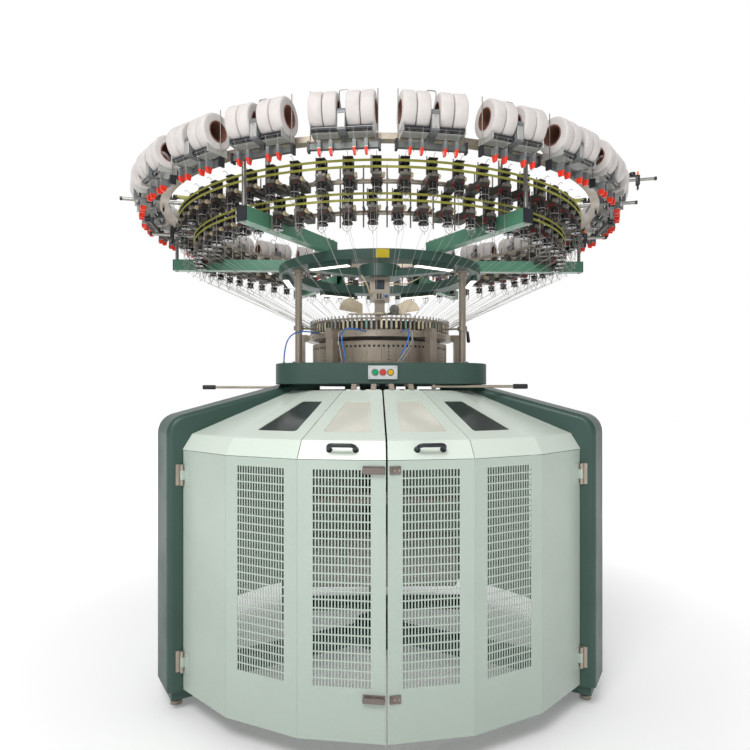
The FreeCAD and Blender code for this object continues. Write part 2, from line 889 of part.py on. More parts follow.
def make_bed_plate():
    outline = bed_outline()
    outline.translate(Vector(0, 0, sheet.bed_bottom))
    body = outline.extrude(Vector(0, 0, sheet.bed_top - sheet.bed_bottom))
    rims = [edge for edge in body.Edges if edge.BoundBox.ZLength < 1]
    body = body.makeChamfer(3, rims)
    floor = sheet.bed_bottom + sheet.bed_lip
    ceiling = sheet.bed_top - sheet.bed_deck
    back = motor_place()
    pinion_tip = sheet.tooth_module * (sheet.pinion_teeth / 2 + 1)
    rooms = [
        upright(sheet.bed_lip_radius, sheet.bed_bottom - 1, floor + 1),
        upright(sheet.gear_room, floor, ceiling),
        upright(sheet.cylinder_radius + sheet.cylinder_gap, ceiling - 1, sheet.bed_top + 1),
        upright(pinion_tip + 2, floor, ceiling, 0, back),
        upright(sheet.shaft_radius + 4, sheet.bed_bottom - 1, floor + 1, 0, back),
    ]
    body = body.cut(rooms[0].fuse(rooms[1:]))
    pins = [lever_pin(pivot) for pivot, _ in lever_spots()]
    solids_node("bed_plate", [body.fuse(pins).removeSplitter()])


def gear_face(teeth, phase):
    """A spur gear's outline with straight-sided teeth; a tooth stands at the phase angle."""
    module = sheet.tooth_module
    pitch_radius = module * teeth / 2
    step = 360.0 / teeth
    root, tip = pitch_radius - 1.25 * module, pitch_radius + 0.85 * module
    points = []
    for index in range(int(teeth)):
        middle = phase + index * step
        points += [around(middle - 0.26 * step, root), around(middle - 0.11 * step, tip)]
        points += [around(middle + 0.11 * step, tip), around(middle + 0.26 * step, root)]
    return Part.Face(Part.makePolygon(points + points[:1]))


def gear_low():
    return sheet.bed_bottom + sheet.bed_lip + sheet.air_gap


def make_gears():
    low = gear_low()
    thick = sheet.gear_thick
    gear = gear_face(sheet.gear_teeth, 180).extrude(Vector(0, 0, thick))
    gear.translate(Vector(0, 0, low))
    solids_node("main_gear", [gear.cut(upright(sheet.gear_inner, low - 1, low + thick + 1))])
    pinion = gear_face(sheet.pinion_teeth, 180 / sheet.pinion_teeth).extrude(Vector(0, 0, thick))
    pinion.translate(Vector(0, motor_place(), low))
    shaft = upright(sheet.shaft_radius, sheet.bed_bottom - 26, low + thick, 0, motor_place())
    solids_node("drive_shaft", [pinion.fuse(shaft).removeSplitter()])
    back = f"tooth_module * (gear_teeth + pinion_teeth) / 2"
    casing = cylinder("casing", "motor_radius", "motor_tall", ("0", back, "bed_bottom - motor_tall"))
    flange = cylinder("motor_flange", "motor_radius + 14", "12", ("0", back, "bed_bottom - 12"))
    bore = cylinder("motor_bore", "shaft_radius + running", "30", ("0", back, "bed_bottom - 28"))
    node("motor", cut("motor_body", fuse("motor_shell", casing, flange), bore))


def make_needle_cylinder():
    """A trick-cut cylinder on a foot flange that stands on the gear."""
    foot = "bed_bottom + bed_lip + air_gap + gear_thick"
    wall = cylinder("cylinder_outside", "cylinder_radius", f"cylinder_top - ({foot})", ("0", "0", foot))
    flange = cylinder("cylinder_flange", "cylinder_radius + 40", "14", ("0", "0", foot))
    bore = cylinder("cylinder_inside", "cylinder_radius - cylinder_wall", "400", ("0", "0", "bed_bottom"))
    node("needle_cylinder", cut("cylinder_tube", fuse("cylinder_blank", wall, flange), bore))


def cam_box(step):
    """One cam segment with its two adjusting holes."""
    inner = sheet.cylinder_radius + sheet.cylinder_gap
    outer = inner + sheet.cam_width
    gap = math.degrees(1.2 / outer)
    low = sheet.bed_top + sheet.cam_base
    body = band(inner, outer, low, sheet.cam_top, -step / 2 + gap / 2, step - gap)
    height = sheet.cam_top - 30
    holes = [
        level(sheet.cam_hole, around(shift, outer - 12, height), around(shift, outer + 10, height))
        for shift in (-step / 3, 0, step / 3)
    ]
    return cutter(body, holes)


def make_cam_segments():
    step = 360.0 / sheet.cam_count
    inner = sheet.cylinder_radius + sheet.cylinder_gap
    section = radial_face([
        (inner, sheet.bed_top),
        (inner + sheet.cam_width + 10, sheet.bed_top),
        (inner + sheet.cam_width + 10, sheet.bed_top + sheet.cam_base - 6),
        (inner + sheet.cam_width + 4, sheet.bed_top + sheet.cam_base),
        (inner, sheet.bed_top + sheet.cam_base),
    ])
    base = sections(section, sheet.cap_sections)
    solids_node("cam_segments", base + ring_of(cam_box(step), evenly(int(sheet.cam_count), step / 2)))


def cap_post():
    """A block post that carries the cap ring from the bed plate."""
    wide, deep, place_radius = sheet.post_wide, sheet.post_deep, sheet.post_radius
    foot = front_box(sheet.post_foot, place_radius - 30, place_radius + 34, sheet.bed_top, sheet.bed_top + 18)
    shank = front_box(
        wide, place_radius - deep / 2, place_radius + deep / 2, sheet.bed_top, sheet.cap_top - 9
    )
    arm_low = sheet.cap_bottom + 4
    arm = front_box(40, sheet.cap_outer - 12, place_radius + deep / 2 + 6, arm_low, sheet.cap_top + 8)
    head = front_box(
        wide - 8, place_radius - deep / 2 + 4, place_radius + deep / 2 + 10, arm_low - 12, arm_low
    )
    post = foot.fuse([shank, arm, head])
    ring = upright(sheet.cap_outer, sheet.cap_bottom - 60, sheet.cap_top + 60)
    return post.cut(ring).removeSplitter()


CAP_POSTS = (-145, -90, -35, 35, 90, 145)


def make_carrier_ring():
    """The sinker cap ring in sections, on its posts."""
    section = radial_face([
        (sheet.cap_inner, sheet.cap_bottom),
        (sheet.cap_outer, sheet.cap_bottom),
        (sheet.cap_outer, sheet.cap_top - 8),
        (sheet.cap_outer - 8, sheet.cap_top),
        (sheet.cap_inner, sheet.cap_top),
    ])
    ring = sections(section, sheet.cap_sections)
    solids_node("carrier_ring", ring + ring_of(cap_post(), CAP_POSTS))


def carrier():
    """A yarn carrier with its feed nose over the needles."""
    middle = sheet.carrier_radius
    body = front_box(10, middle - 8, middle + 8, sheet.cap_top, sheet.carrier_top)
    nose = radial_face([
        (middle - 8, sheet.cap_top + 30),
        (middle - 8, sheet.cap_top + 6),
        (middle - 36, sheet.cap_top + 2),
        (middle - 36, sheet.cap_top + 8),
    ])
    nose.translate(Vector(-3, 0, 0))
    eye = level(
        2.5, Vector(0, -middle - 20, sheet.carrier_top - 12), Vector(0, -middle + 20, sheet.carrier_top - 12)
    )
    return body.fuse(nose.extrude(Vector(6, 0, 0))).cut(eye).removeSplitter()


def make_yarn_carriers():
    solids = ring_of(carrier(), evenly(int(sheet.carrier_count)))
    rod = sheet.guide_rod
    section = radial_face([
        (sheet.guide_radius - rod, sheet.carrier_top),
        (sheet.guide_radius + rod, sheet.carrier_top),
        (sheet.guide_radius + rod, sheet.carrier_top + 2 * rod),
        (sheet.guide_radius - rod, sheet.carrier_top + 2 * rod),
    ])
    solids_node("yarn_carriers", solids + sections(section, sheet.cap_sections))


# ---- take-down -----------------------------------------------------------------------------------


def make_takedown_frame():
    """The frame that turns with the cylinder, hung from the gear and steadied at the floor."""
    hanger_top = gear_low()
    half, plate, deep = sheet.frame_half, sheet.frame_plate, sheet.frame_deep
    top, bottom, beam = sheet.frame_top, sheet.frame_bottom, sheet.ring_beam
    ring = band(sheet.hanger_radius - 30, sheet.hanger_radius + 30, top - beam, top)
    pieces = [ring]
    for azimuth in evenly(6, 30):
        spot = around(azimuth, sheet.hanger_radius)
        pieces.append(upright(sheet.hanger_rod, top - beam, hanger_top, spot.x, spot.y))
    for side in SIDES:
        inner = sheet.hanger_radius if side > 0 else -half
        pieces.append(Part.makeBox(half - sheet.hanger_radius, 120, beam, Vector(inner, -60, top - beam)))
        flank = half - plate if side > 0 else -half
        pieces.append(Part.makeBox(plate, 2 * deep, top - bottom - 180, Vector(flank, -deep, bottom)))
        pieces.append(Part.makeBox(plate, 160, 200, Vector(flank, -80, top - 200)))
    pieces.append(Part.makeBox(2 * half, 200, beam, Vector(-half, -100, bottom)))
    pieces.append(upright(2 * sheet.pivot_radius, sheet.hub_top + sheet.air_gap, bottom + 5))
    pieces.append(upright(sheet.pivot_radius, sheet.plinth_bottom + 40, bottom))
    frame = ring.fuse(pieces[1:])
    bores = [
        level(sheet.journal + sheet.running, Vector(-half - 5, y, z), Vector(half + 5, y, z))
        for y, z in axle_spots()
    ]
    solids_node("takedown_frame", [cutter(frame, bores).removeSplitter()])


def axle_spots():
    """The two nip rollers' and the winding shaft's places, across the frame."""
    shift = sheet.roller_radius + sheet.roller_gap / 2
    return ((-shift, sheet.roller_height), (shift, sheet.roller_height), (0, sheet.winder_height))


def make_rollers():
    shift = "roller_radius + roller_gap / 2"
    inside = "2 * (frame_half - frame_plate - 1)"
    for label, way in (("takedown_roller", "-1"), ("nip_roller", "1")):
        at = (f"0 - ({inside}) / 2", f"{way} * ({shift})", "roller_height")
        ends = ("0 - frame_half", f"{way} * ({shift})", "roller_height")
        barrel = cylinder(label + "_barrel", "roller_radius", inside, at, "x")
        axle = cylinder(label + "_axle", "journal", "2 * frame_half", ends, "x")
        node(label, fuse(label + "_turned", barrel, axle))
    spindle = cylinder("spindle", "journal", "2 * frame_half", ("0 - frame_half", "0", "winder_height"), "x")
    node("winding_shaft", fuse("winding_bar", spindle, winder_collar("left", -1), winder_collar("right", 1)))
    blank = cylinder(
        "cloth_blank", "cloth_radius", "cloth_long", ("0 - cloth_long / 2", "0", "winder_height"), "x"
    )
    bore = cylinder(
        "cloth_bore", "journal", "cloth_long + 20", ("0 - cloth_long / 2 - 10", "0", "winder_height"), "x"
    )
    node("cloth_roll", cut("cloth_turns", blank, bore))


def winder_collar(word, side):
    start = "cloth_long / 2" if side > 0 else "0 - cloth_long / 2 - 12"
    return cylinder(f"collar_{word}", "journal + 20", "12", (start, "0", "winder_height"), "x")


# ---- upper frame ---------------------------------------------------------------------------------


def make_columns():
    tube = cylinder("tube", "column_radius", "ring_bottom - bed_top", ("0", "0 - column_place", "bed_top"))
    foot = cylinder("tube_foot", "flange_radius", "flange_thick", ("0", "0 - column_place", "bed_top"))
    head = cylinder("tube_head", "flange_radius", "12", ("0", "0 - column_place", "ring_bottom - 12"))
    column = shape_of(fuse("column", tube, foot, head))
    solids_node("columns", ring_of(column, leg_azimuths()))


def make_support_ring():
    """A ring with a hub and three spokes over the columns, cast in one."""
    rim = cylinder("rim", "ring_outer", "ring_thick", ("0", "0", "ring_bottom"))
    hole = cylinder("rim_hole", "ring_inner", "ring_thick + 2", ("0", "0", "ring_bottom - 1"))
    hub = cylinder("hub", "hub_disc", "ring_thick + 25", ("0", "0", "ring_bottom + spoke_rise"))
    pieces = [cut("rim_ring", rim, hole), hub]
    for index, azimuth in enumerate(leg_azimuths()):
        spoke = document.addObject("Part::Box", f"spoke_{index}")
        bind(spoke, Length="spoke_wide", Width="ring_inner + 20", Height="spoke_tall")
        turn = Rotation(AXIS, azimuth)
        start = Vector(-sheet.spoke_wide / 2, -sheet.ring_inner - 20, sheet.ring_bottom + sheet.spoke_rise)
        spoke.Placement = Placement(turn.multVec(start), turn)
        pieces.append(spoke)
    node("support_ring", fuse("spider", *pieces))


def arm_bottom():
    return sheet.ring_bottom + sheet.ring_thick


def arm_top():
    return arm_bottom() + sheet.arm_tall


def make_ring_arms():
    low = "ring_bottom + ring_thick"
    long = "arm_end - arm_start"
    middle = "0 - (arm_end + arm_start) / 2"
    outside = block("arm_outside", ("arm_wide", long, "arm_tall"), ("0", middle, low))
    inner_sizes = ("arm_wide - 2 * arm_wall", f"{long} + 2", "arm_tall - 2 * arm_wall")
    inside = block("arm_inside", inner_sizes, ("0", middle, f"{low} + arm_wall"))
    arm = shape_of(cut("arm", outside, inside))
    solids_node("ring_arms", ring_of(arm, ARM_AZIMUTHS))


def make_light_bars():
    """Lamp housings under the ring."""
    body = block("lamp", ("light_long", "light_wide", "light_tall"), (
        "0", "0 - light_place", "ring_bottom - light_tall"
    ))
    solids_node("light_bars", ring_of(shape_of(body), ARM_AZIMUTHS))


def make_centre_column():
    top = "ring_bottom + spoke_rise"
    casing = block(
        "centre_casing", ("centre_wide", "centre_wide", f"{top} - centre_bottom"), ("0", "0", "centre_bottom")
    )
    neck = block(
        "centre_neck", ("neck_wide", "neck_wide", "centre_bottom - neck_bottom"), ("0", "0", "neck_bottom")
    )
    node("centre_column", fuse("centre_post", casing, neck))


def fan_blade():
    """A broad paddle on a flat arm, its outline curved and its sheet leaning."""
    low, high = sheet.blade_low - 5, sheet.blade_high
    inner, outer = sheet.blade_inner, sheet.blade_outer
    start, tip = Vector(-inner, 0, low), Vector(-outer, 0, low + 30)
    crest = Vector(-(inner + outer) / 2, 0, high)
    shoulder = Vector(-inner, 0, high - 45)
    edges = [
        Part.makeLine(start, tip),
        Part.Arc(tip, Vector(-outer + 12, 0, high - 42), crest).toShape(),
        Part.makeLine(crest, shoulder),
        Part.makeLine(shoulder, start),
    ]
    sheet_face = Part.Face(Part.Wire(edges))
    paddle = sheet_face.extrude(Vector(0, 3, 0))
    return paddle.rotated(start, Vector(1, 0, 0), 24)


def make_lint_fan():
    top = sheet.neck_bottom - sheet.air_gap
    hub = upright(sheet.fan_hub, top - sheet.fan_thick, top)
    arm = Part.makeBox(2 * sheet.blade_outer - 120, 30, 8, Vector(60 - sheet.blade_outer, -15, top - 12))
    blade = fan_blade()
    solids_node("lint_fan", [hub.fuse([arm, blade, turned(blade, 180)]).removeSplitter()])


def lower_height():
    return arm_top() + sheet.tube_radius


def torus(radius, height):
    return Part.makeTorus(radius, sheet.tube_radius, Vector(0, 0, height))


def tube_post():
    """An upright on an arm with the clamp that grips the upper ring."""
    centre = sheet.upper_ring + sheet.tube_radius + sheet.tube_post
    bar = upright(sheet.tube_post, arm_top(), sheet.tube_post_top, 0, -centre)
    low, high = sheet.upper_height - 17, sheet.upper_height + 17
    grip = front_box(sheet.clamp_wide, sheet.upper_ring - 18, centre + 20, low, high)
    return bar.fuse(grip).cut(torus(sheet.upper_ring, sheet.upper_height)).removeSplitter()


def make_creel_posts():
    rail = upright(sheet.rail_post, arm_top(), sheet.rail_bottom, 0, -sheet.rail_post_place)
    solids_node("creel_posts", ring_of(tube_post(), ARM_AZIMUTHS) + ring_of(rail, ARM_AZIMUTHS))


def make_feeder_rings():
    solids = []
    for radius, height in ring_places():
        circle = Part.makeCircle(sheet.tube_radius, around(0, radius, height), Vector(1, 0, 0))
        disc = Part.Face(Part.Wire(circle))
        solids += sections(disc, 6)
    solids_node("feeder_rings", solids)


def ring_places():
    return ((sheet.lower_ring, lower_height()), (sheet.upper_ring, sheet.upper_height))


def make_creel_rail():
    inner, outer, wall = sheet.rail_inner, sheet.rail_outer, sheet.rail_wall
    low, high = sheet.rail_bottom, sheet.rail_bottom + sheet.rail_tall
    section = radial_face([
        (inner, low), (outer, low), (outer, high), (outer - wall, high),
        (outer - wall, low + wall), (inner + wall, low + wall), (inner + wall, high), (inner, high),
    ])
    solids_node("creel_rail", sections(section, sheet.rail_sections))


# ---- positive feeders ----------------------------------------------------------------------------


def feeder_body():
    """A feeder's housing about a ring at radius and height zero: clamp, back plate and top plate."""
    wide, reach = sheet.feeder_wide, sheet.feeder_reach
    block_body = Part.makeBox(wide, reach + 34, 38, Vector(-wide / 2, -reach - 12, -34))
    back = Part.makeBox(wide, 8, sheet.feeder_top, Vector(-wide / 2, -reach + sheet.pulley_radius + 4, 0))
    top = Part.makeBox(
        wide, sheet.pulley_radius + 22, 6, Vector(-wide / 2, -reach - 12, sheet.feeder_top - 6)
    )
    clip = Part.makeBox(26, 30, 14, Vector(-13, -12, 3))
    body = block_body.fuse([back, top, clip])
    return body.cut(upright(sheet.spindle + 0.2, -60, sheet.feeder_top + 5, 0, -reach)).removeSplitter()


def feeder_wheel():
    """The yarn wheel and its two belt pulleys on one spindle."""
    reach = -sheet.feeder_reach
    half = sheet.belt_tall / 2 + 1.5
    wheel_low = -sheet.wheel_low
    discs = [
        upright(sheet.pulley_radius, sheet.belt_high - half, sheet.belt_high + half, 0, reach),
        upright(sheet.pulley_radius, sheet.belt_low - half, sheet.belt_low + half, 0, reach),
        upright(sheet.wheel_radius, wheel_low, wheel_low + 6, 0, reach),
        upright(sheet.wheel_radius - 5, wheel_low, wheel_low + sheet.wheel_tall, 0, reach),
        upright(sheet.wheel_radius, wheel_low + sheet.wheel_tall - 6, wheel_low + sheet.wheel_tall, 0, reach),
    ]
    return upright(sheet.spindle, wheel_low - 4, sheet.feeder_top - 8, 0, reach).fuse(discs).removeSplitter()


def feeder_starts():
    """The first azimuth of each ring's feeders, which keeps them off the arms and the posts."""
    pitch = 360.0 / sheet.feeder_count
    return (pitch / 2, 2 * pitch / 3)


def on_rings(shape, azimuths_of):
    """A seed for each feeder station, cut free of the ring that it grips."""
    solids = []
    for (radius, height), start in zip(ring_places(), feeder_starts()):
        seated = shape.translated(Vector(0, -radius, height)).cut(torus(radius, height))
        solids += ring_of(seated, azimuths_of(start))
    return solids


def stations(start):
    return evenly(int(sheet.feeder_count), start)


def make_feeders():
    solids_node("feeder_bodies", on_rings(feeder_body(), stations))
    wheels = []
    for (radius, height), start in zip(ring_places(), feeder_starts()):
        wheels += ring_of(feeder_wheel().translated(Vector(0, -radius, height)), stations(start))
    solids_node("feeder_wheels", wheels)


def make_feeder_belts():
    """Four toothed belts that run round the outside of the pulleys."""
    belts = []
    for radius, height in ring_places():
        inside = radius + sheet.feeder_reach + sheet.pulley_radius
        for rise in (sheet.belt_low, sheet.belt_high):
            low = height + rise - sheet.belt_tall / 2
            belts.append(band(inside, inside + sheet.belt_thick, low, low + sheet.belt_tall))
    solids_node("feeder_belts", belts)


def make_belt_tensioners():
    """Outrigger tubes for the belts: one pair lies on the rail, the other stands on the lower ring."""
    rod = sheet.outrigger_radius
    upper_z = sheet.rail_bottom + sheet.rail_tall + rod
    lower_z = sheet.upper_height - 38
    solids = []
    for side in SIDES:
        azimuth = side * sheet.outrigger_azimuth
        start = around(azimuth, sheet.outrigger_start, upper_z)
        end = around(azimuth, sheet.outrigger_end, upper_z)
        solids.append(level(rod, start, end))
        azimuth = side * sheet.outrigger_azimuth + (
            sheet.outrigger_shift if side > 0 else -sheet.outrigger_shift + 0.5
        )
        inner, outer = around(azimuth, 930, lower_z), around(azimuth, 1428, lower_z)
        stand = front_box(20, sheet.lower_ring - 10, sheet.lower_ring + 10, lower_height(), lower_z)
        stand = turned(stand, azimuth).cut(torus(sheet.lower_ring, lower_height()))
        solids.append(level(rod, inner, outer).fuse(stand).removeSplitter())
    solids_node("belt_tensioners", solids)


# ---- elastane creel ------------------------------------------------------------------------------


def unit_azimuths():
    count = int(sheet.unit_count)
    return evenly(count, 180.0 / count)


def lying(radius, long, across, place_radius, height):
    """A round bar that lies along the tangent at the front."""
    start = Vector(across - long / 2, -place_radius, height)
    return Part.makeCylinder(radius, long, start, Vector(1, 0, 0))


def drum_places():
    return (sheet.package_place - sheet.drum_half, sheet.package_place + sheet.drum_half)


def package_height():
    """The packages rest on the two drums."""
    reach = sheet.package_radius + sheet.drum_radius + sheet.air_gap
    return sheet.drum_height + math.sqrt(reach ** 2 - sheet.drum_half ** 2)


def unit_housing():
    """The drive housing between the package pairs, seated on the rail."""
    wide = sheet.housing_wide
    rail_top = sheet.rail_bottom + sheet.rail_tall
    outer = sheet.package_place + sheet.drum_half + 24
    lower = front_box(wide, sheet.rail_outer + 1, outer, sheet.housing_bottom, rail_top + 4)
    upper = front_box(wide, sheet.rail_inner + 8, outer, rail_top, sheet.housing_top)
    body = lower.fuse(upper).removeSplitter()
    crowns = [
        edge for edge in body.Edges
        if edge.BoundBox.XLength > wide - 1 and edge.BoundBox.ZMin > sheet.housing_top - 1
    ]
    body = body.makeFillet(22, crowns)
    bores = [lying(sheet.drum_radius, 2 * wide, 0, radius, sheet.drum_height) for radius in drum_places()]
    return cutter(body, bores)


def sensor_beam():
    """The beam of the yarn sensors, on a strap from the housing."""
    inner, outer = sheet.beam_place, sheet.beam_place + sheet.beam_deep
    beam = front_box(sheet.beam_long, inner, outer, sheet.beam_low, sheet.beam_high)
    strap = front_box(20, inner + 4, outer - 4, sheet.beam_high, sheet.housing_bottom)
    return beam.fuse(strap).removeSplitter()


def end_cap(across):
    inner, outer = sheet.beam_place - 5, sheet.beam_place + sheet.beam_deep + 5
    return front_box(10, inner, outer, sheet.beam_low - 9, sheet.beam_high + 11, across)


def yarn_sensor(across):
    inner = sheet.beam_place + sheet.beam_deep
    return front_box(
        sheet.sensor_wide, inner, inner + sheet.sensor_deep, sheet.sensor_low, sheet.sensor_low + 35, across
    )


def make_creel_units():
    azimuths = unit_azimuths()
    spots = (-sheet.package_far, -sheet.package_near, sheet.package_near, sheet.package_far)
    height = package_height()
    centre = sheet.package_place
    bore = lying(sheet.package_bore, 400, 0, centre, height)
    packages = [
        lying(sheet.package_radius, sheet.package_wide, spot, centre, height).cut(bore) for spot in spots
    ]
    core_bore = lying(sheet.package_bore - sheet.core_wall, 400, 0, centre, height)
    core_long = sheet.package_wide + 2 * sheet.core_lap
    cores = [lying(sheet.package_bore, core_long, spot, centre, height).cut(core_bore) for spot in spots]
    drums = [
        lying(sheet.drum_radius, sheet.drum_long, 0, radius, sheet.drum_height) for radius in drum_places()
    ]
    sensors = [yarn_sensor(shift) for shift in (-100, -50, 50, 100)]
    half_beam = sheet.beam_long / 2 + 5
    caps = [end_cap(side * half_beam) for side in SIDES]
    groups = {
        "drive_housings": [unit_housing()],
        "drive_rollers": drums,
        "yarn_packages": packages,
        "package_tubes": cores,
        "sensor_beams": [sensor_beam()],
        "yarn_sensors": sensors,
    }
    for label, seeds in groups.items():
        solids_node(label, [solid for seed in seeds for solid in ring_of(seed, azimuths)])
    solids_node("end_caps", ring_of(arm_cap(), ARM_AZIMUTHS) + [
        solid for seed in caps for solid in ring_of(seed, azimuths)
    ])


def arm_cap():
    """The plastic plug in an arm's outer end."""
    end, wall = sheet.arm_end, sheet.arm_wall
    face = front_box(sheet.arm_wide, end, end + sheet.cap_thick, arm_bottom(), arm_top())
    plug = front_box(sheet.arm_wide - 2 * wall, end - 15, end, arm_bottom() + wall, arm_top() - wall)
    return face.fuse(plug).removeSplitter()


# ---- controls ------------------------------------------------------------------------------------


def make_control_panel():
    centre = ("panel_place", "0 - bed_front - panel_thick / 2", "panel_height - panel_tall / 2")
    plate = block("panel_plate", ("panel_wide", "panel_thick", "panel_tall"), centre)
    bores = []
    for index, (label, shift) in enumerate(
        (("button_green", "-1"), ("button_red", "0"), ("button_yellow", "1"))
    ):
        x = f"panel_place + {shift} * button_pitch"
        bore_at = (x, "0 - bed_front - panel_thick - 1", "panel_height")
        bores.append(cylinder(f"bore_{index}", "button_radius + running", "panel_thick + 2", bore_at, "y"))
        stem_at = (x, "0 - bed_front - button_seat - button_long", "panel_height")
        node(label, cylinder(f"stem_{index}", "button_radius", "button_long", stem_at, "y"))
    node("control_panel", cut("panel", plate, *bores))


def lever_spots():
    """Each lever's pivot under the bed plate and the way that its rod points."""
    return (
        (Vector(28 - sheet.bed_half, -100, 0), Vector(-1, 0, 0)),
        (Vector(290, 25 - sheet.bed_front, 0), Vector(1, 0, 0)),
    )


def lever_low():
    return sheet.bed_bottom - sheet.lever_drop - sheet.lever_tall


def lever_pin(pivot):
    """The stepped pin under the bed plate that a lever turns on, with its washer."""
    low = lever_low()
    top = low + sheet.lever_tall + sheet.air_gap
    washer_low = low - sheet.air_gap - sheet.washer_thick
    washer = upright(2 * sheet.lever_pin, washer_low, washer_low + sheet.washer_thick, pivot.x, pivot.y)
    pin = upright(sheet.lever_pin, washer_low, sheet.bed_bottom + 10, pivot.x, pivot.y)
    collar = upright(1.7 * sheet.lever_pin, top, sheet.bed_bottom + 1, pivot.x, pivot.y)
    return washer.fuse([pin, collar])


def make_levers():
    low = lever_low()
    middle = low + sheet.lever_tall / 2
    longs = (sheet.left_lever, sheet.right_lever)
    for (pivot, way), long, word in zip(lever_spots(), longs, ("left", "right")):
        hub = upright(sheet.lever_hub, low, low + sheet.lever_tall, pivot.x, pivot.y)
        start = Vector(pivot.x, pivot.y, middle)
        rod = level(sheet.lever_rod, start, start + way * (long - 6))
        bore = upright(sheet.lever_pin + sheet.running, low - 5, low + sheet.lever_tall + 5, pivot.x, pivot.y)
        solids_node(f"lever_{word}", [hub.fuse(rod).cut(bore).removeSplitter()])
        grip = level(sheet.grip_radius, start + way * (long - sheet.grip_long), start + way * long)
        rims = [edge for edge in grip.Edges if edge.BoundBox.YLength > sheet.grip_radius]
        grip = grip.makeFillet(5, rims) if rims else grip
        solids_node(f"grip_{word}", [grip.cut(level(sheet.lever_rod, start, start + way * (long - 6)))])


# ---- yarns and hoses -----------------------------------------------------------------------------


def carrier_for(azimuth):
    """The carrier that a feeder's yarn runs to, kept clear of the columns."""
    pitch = 360.0 / sheet.carrier_count
    target = round(azimuth / pitch) * pitch
    for column in leg_azimuths():
        apart = (target - column + 180) % 360 - 180
        if abs(apart) < 1.4 * pitch:
            way = 1 if (azimuth - column + 180) % 360 > 180 else -1
            target = column + way * 1.5 * pitch
            target = math.floor(target / pitch) * pitch if way < 0 else math.ceil(target / pitch) * pitch
    return target


def make_yarns():
    """Taut yarns from each feeder's lower eye to a carrier; the upper ring's first drop past the lower."""
    solids = []
    thin = sheet.yarn_radius
    lower = lower_height() - sheet.wheel_low - 5
    for (radius, height), start, side in zip(ring_places(), feeder_starts(), (-1, 1)):
        for index, azimuth in enumerate(stations(start)):
            eye = around(azimuth, radius + sheet.feeder_reach - 10, height - sheet.wheel_low - 5)
            guide = around(azimuth, radius + sheet.feeder_reach - 10, min(lower, eye.z) - sheet.yarn_drop)
            meet = carrier_for(azimuth) + side * sheet.yarn_apart
            end_height = sheet.carrier_top - 12 - (index % 2) * sheet.yarn_step
            carrier_eye = around(meet, sheet.carrier_radius + 9, end_height)
            runs = [level(thin, eye, guide), level(thin, guide, carrier_eye), Part.makeSphere(thin, guide)]
            solids.append(runs[0].fuse(runs[1:]).removeSplitter())
    solids_node("yarns", solids)


HOSE_ROUTES = (
    (
        Vector(-93, -464, 2056),
        Vector(-165, -505, 2070),
        Vector(-226, -550, 2060),
        Vector(-230, -568, 1985),
        Vector(-206, -565, 1905),
        Vector(-206, -565, 1865),
    ),
    (
        Vector(112, -459, 2056),
        Vector(152, -538, 2072),
        Vector(152, -572, 1990),
        Vector(108, -566, 1915),
        Vector(108, -566, 1865),
    ),
    (
        Vector(-373, -291, 2056),
        Vector(-452, -368, 2072),
        Vector(-540, -420, 2040),
        Vector(-572, -430, 1945),
        Vector(-572, -430, 1865),
    ),
)
HOSE_RADIUS = 4


def hose(points):
    """A tube of straight runs with a tangent arc at each bend."""
    edges, last = [], points[0]
    for before, bend, after in zip(points, points[1:], points[2:]):
        back, ahead = before - bend, after - bend
        half = back.getAngle(ahead) / 2
        run = 0.45 * min(back.Length, ahead.Length)
        radius = run * math.tan(half)
        first, final = bend + back.normalize() * run, bend + ahead.normalize() * run
        middle = bend + (back + ahead).normalize() * (radius / math.sin(half) - radius)
        edges += [Part.makeLine(last, first), Part.Arc(first, middle, final).toShape()]
        last = final
    edges.append(Part.makeLine(last, points[-1]))
    ring = Part.Wire(Part.makeCircle(HOSE_RADIUS, points[0], points[1] - points[0]))
    return Part.Wire(edges).makePipeShell([ring], True, True)


def make_hoses():
    solids_node("hoses", [hose(points) for points in HOSE_ROUTES])


# ---- the document --------------------------------------------------------------------------------


def check(thing):
    states = set(thing.State)
    assert not states & {"Invalid", "Error"}, f"{thing.Label}: {thing.State}"
    if hasattr(thing, "Shape"):
        assert not thing.Shape.isNull(), f"{thing.Label} is empty"
        assert thing.Shape.isValid(), f"{thing.Label} is not valid"


def write():
    os.makedirs("parts", exist_ok=True)
    document.recompute()
    for thing in document.Objects:
        check(thing)
    for thing in nodes:
        thing.Shape.exportStep(f"parts/{thing.Label}.step")


make_base_frame()
make_legs()
make_bed_plate()
make_fixed_guards()
make_doors()
make_lids()
make_guard_hinges()
make_latches()
make_gears()
make_needle_cylinder()
make_cam_segments()
make_carrier_ring()
make_yarn_carriers()
make_takedown_frame()
make_rollers()
make_columns()
make_support_ring()
make_ring_arms()
make_light_bars()
make_centre_column()
make_lint_fan()
make_creel_posts()
make_feeder_rings()
make_creel_rail()
make_feeders()
make_feeder_belts()
make_belt_tensioners()
make_creel_units()
make_control_panel()
make_levers()
make_yarns()
make_hoses()
write()
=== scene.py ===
"""Finishes, fine pieces, lights and camera of the circular knitting machine, in metres.

The front faces -Y. An azimuth is counted from the front towards +X, so a seed made at the front turns about
+Z.
"""

import json
import math

import bmesh
import bpy
from mathutils import Matrix, Vector


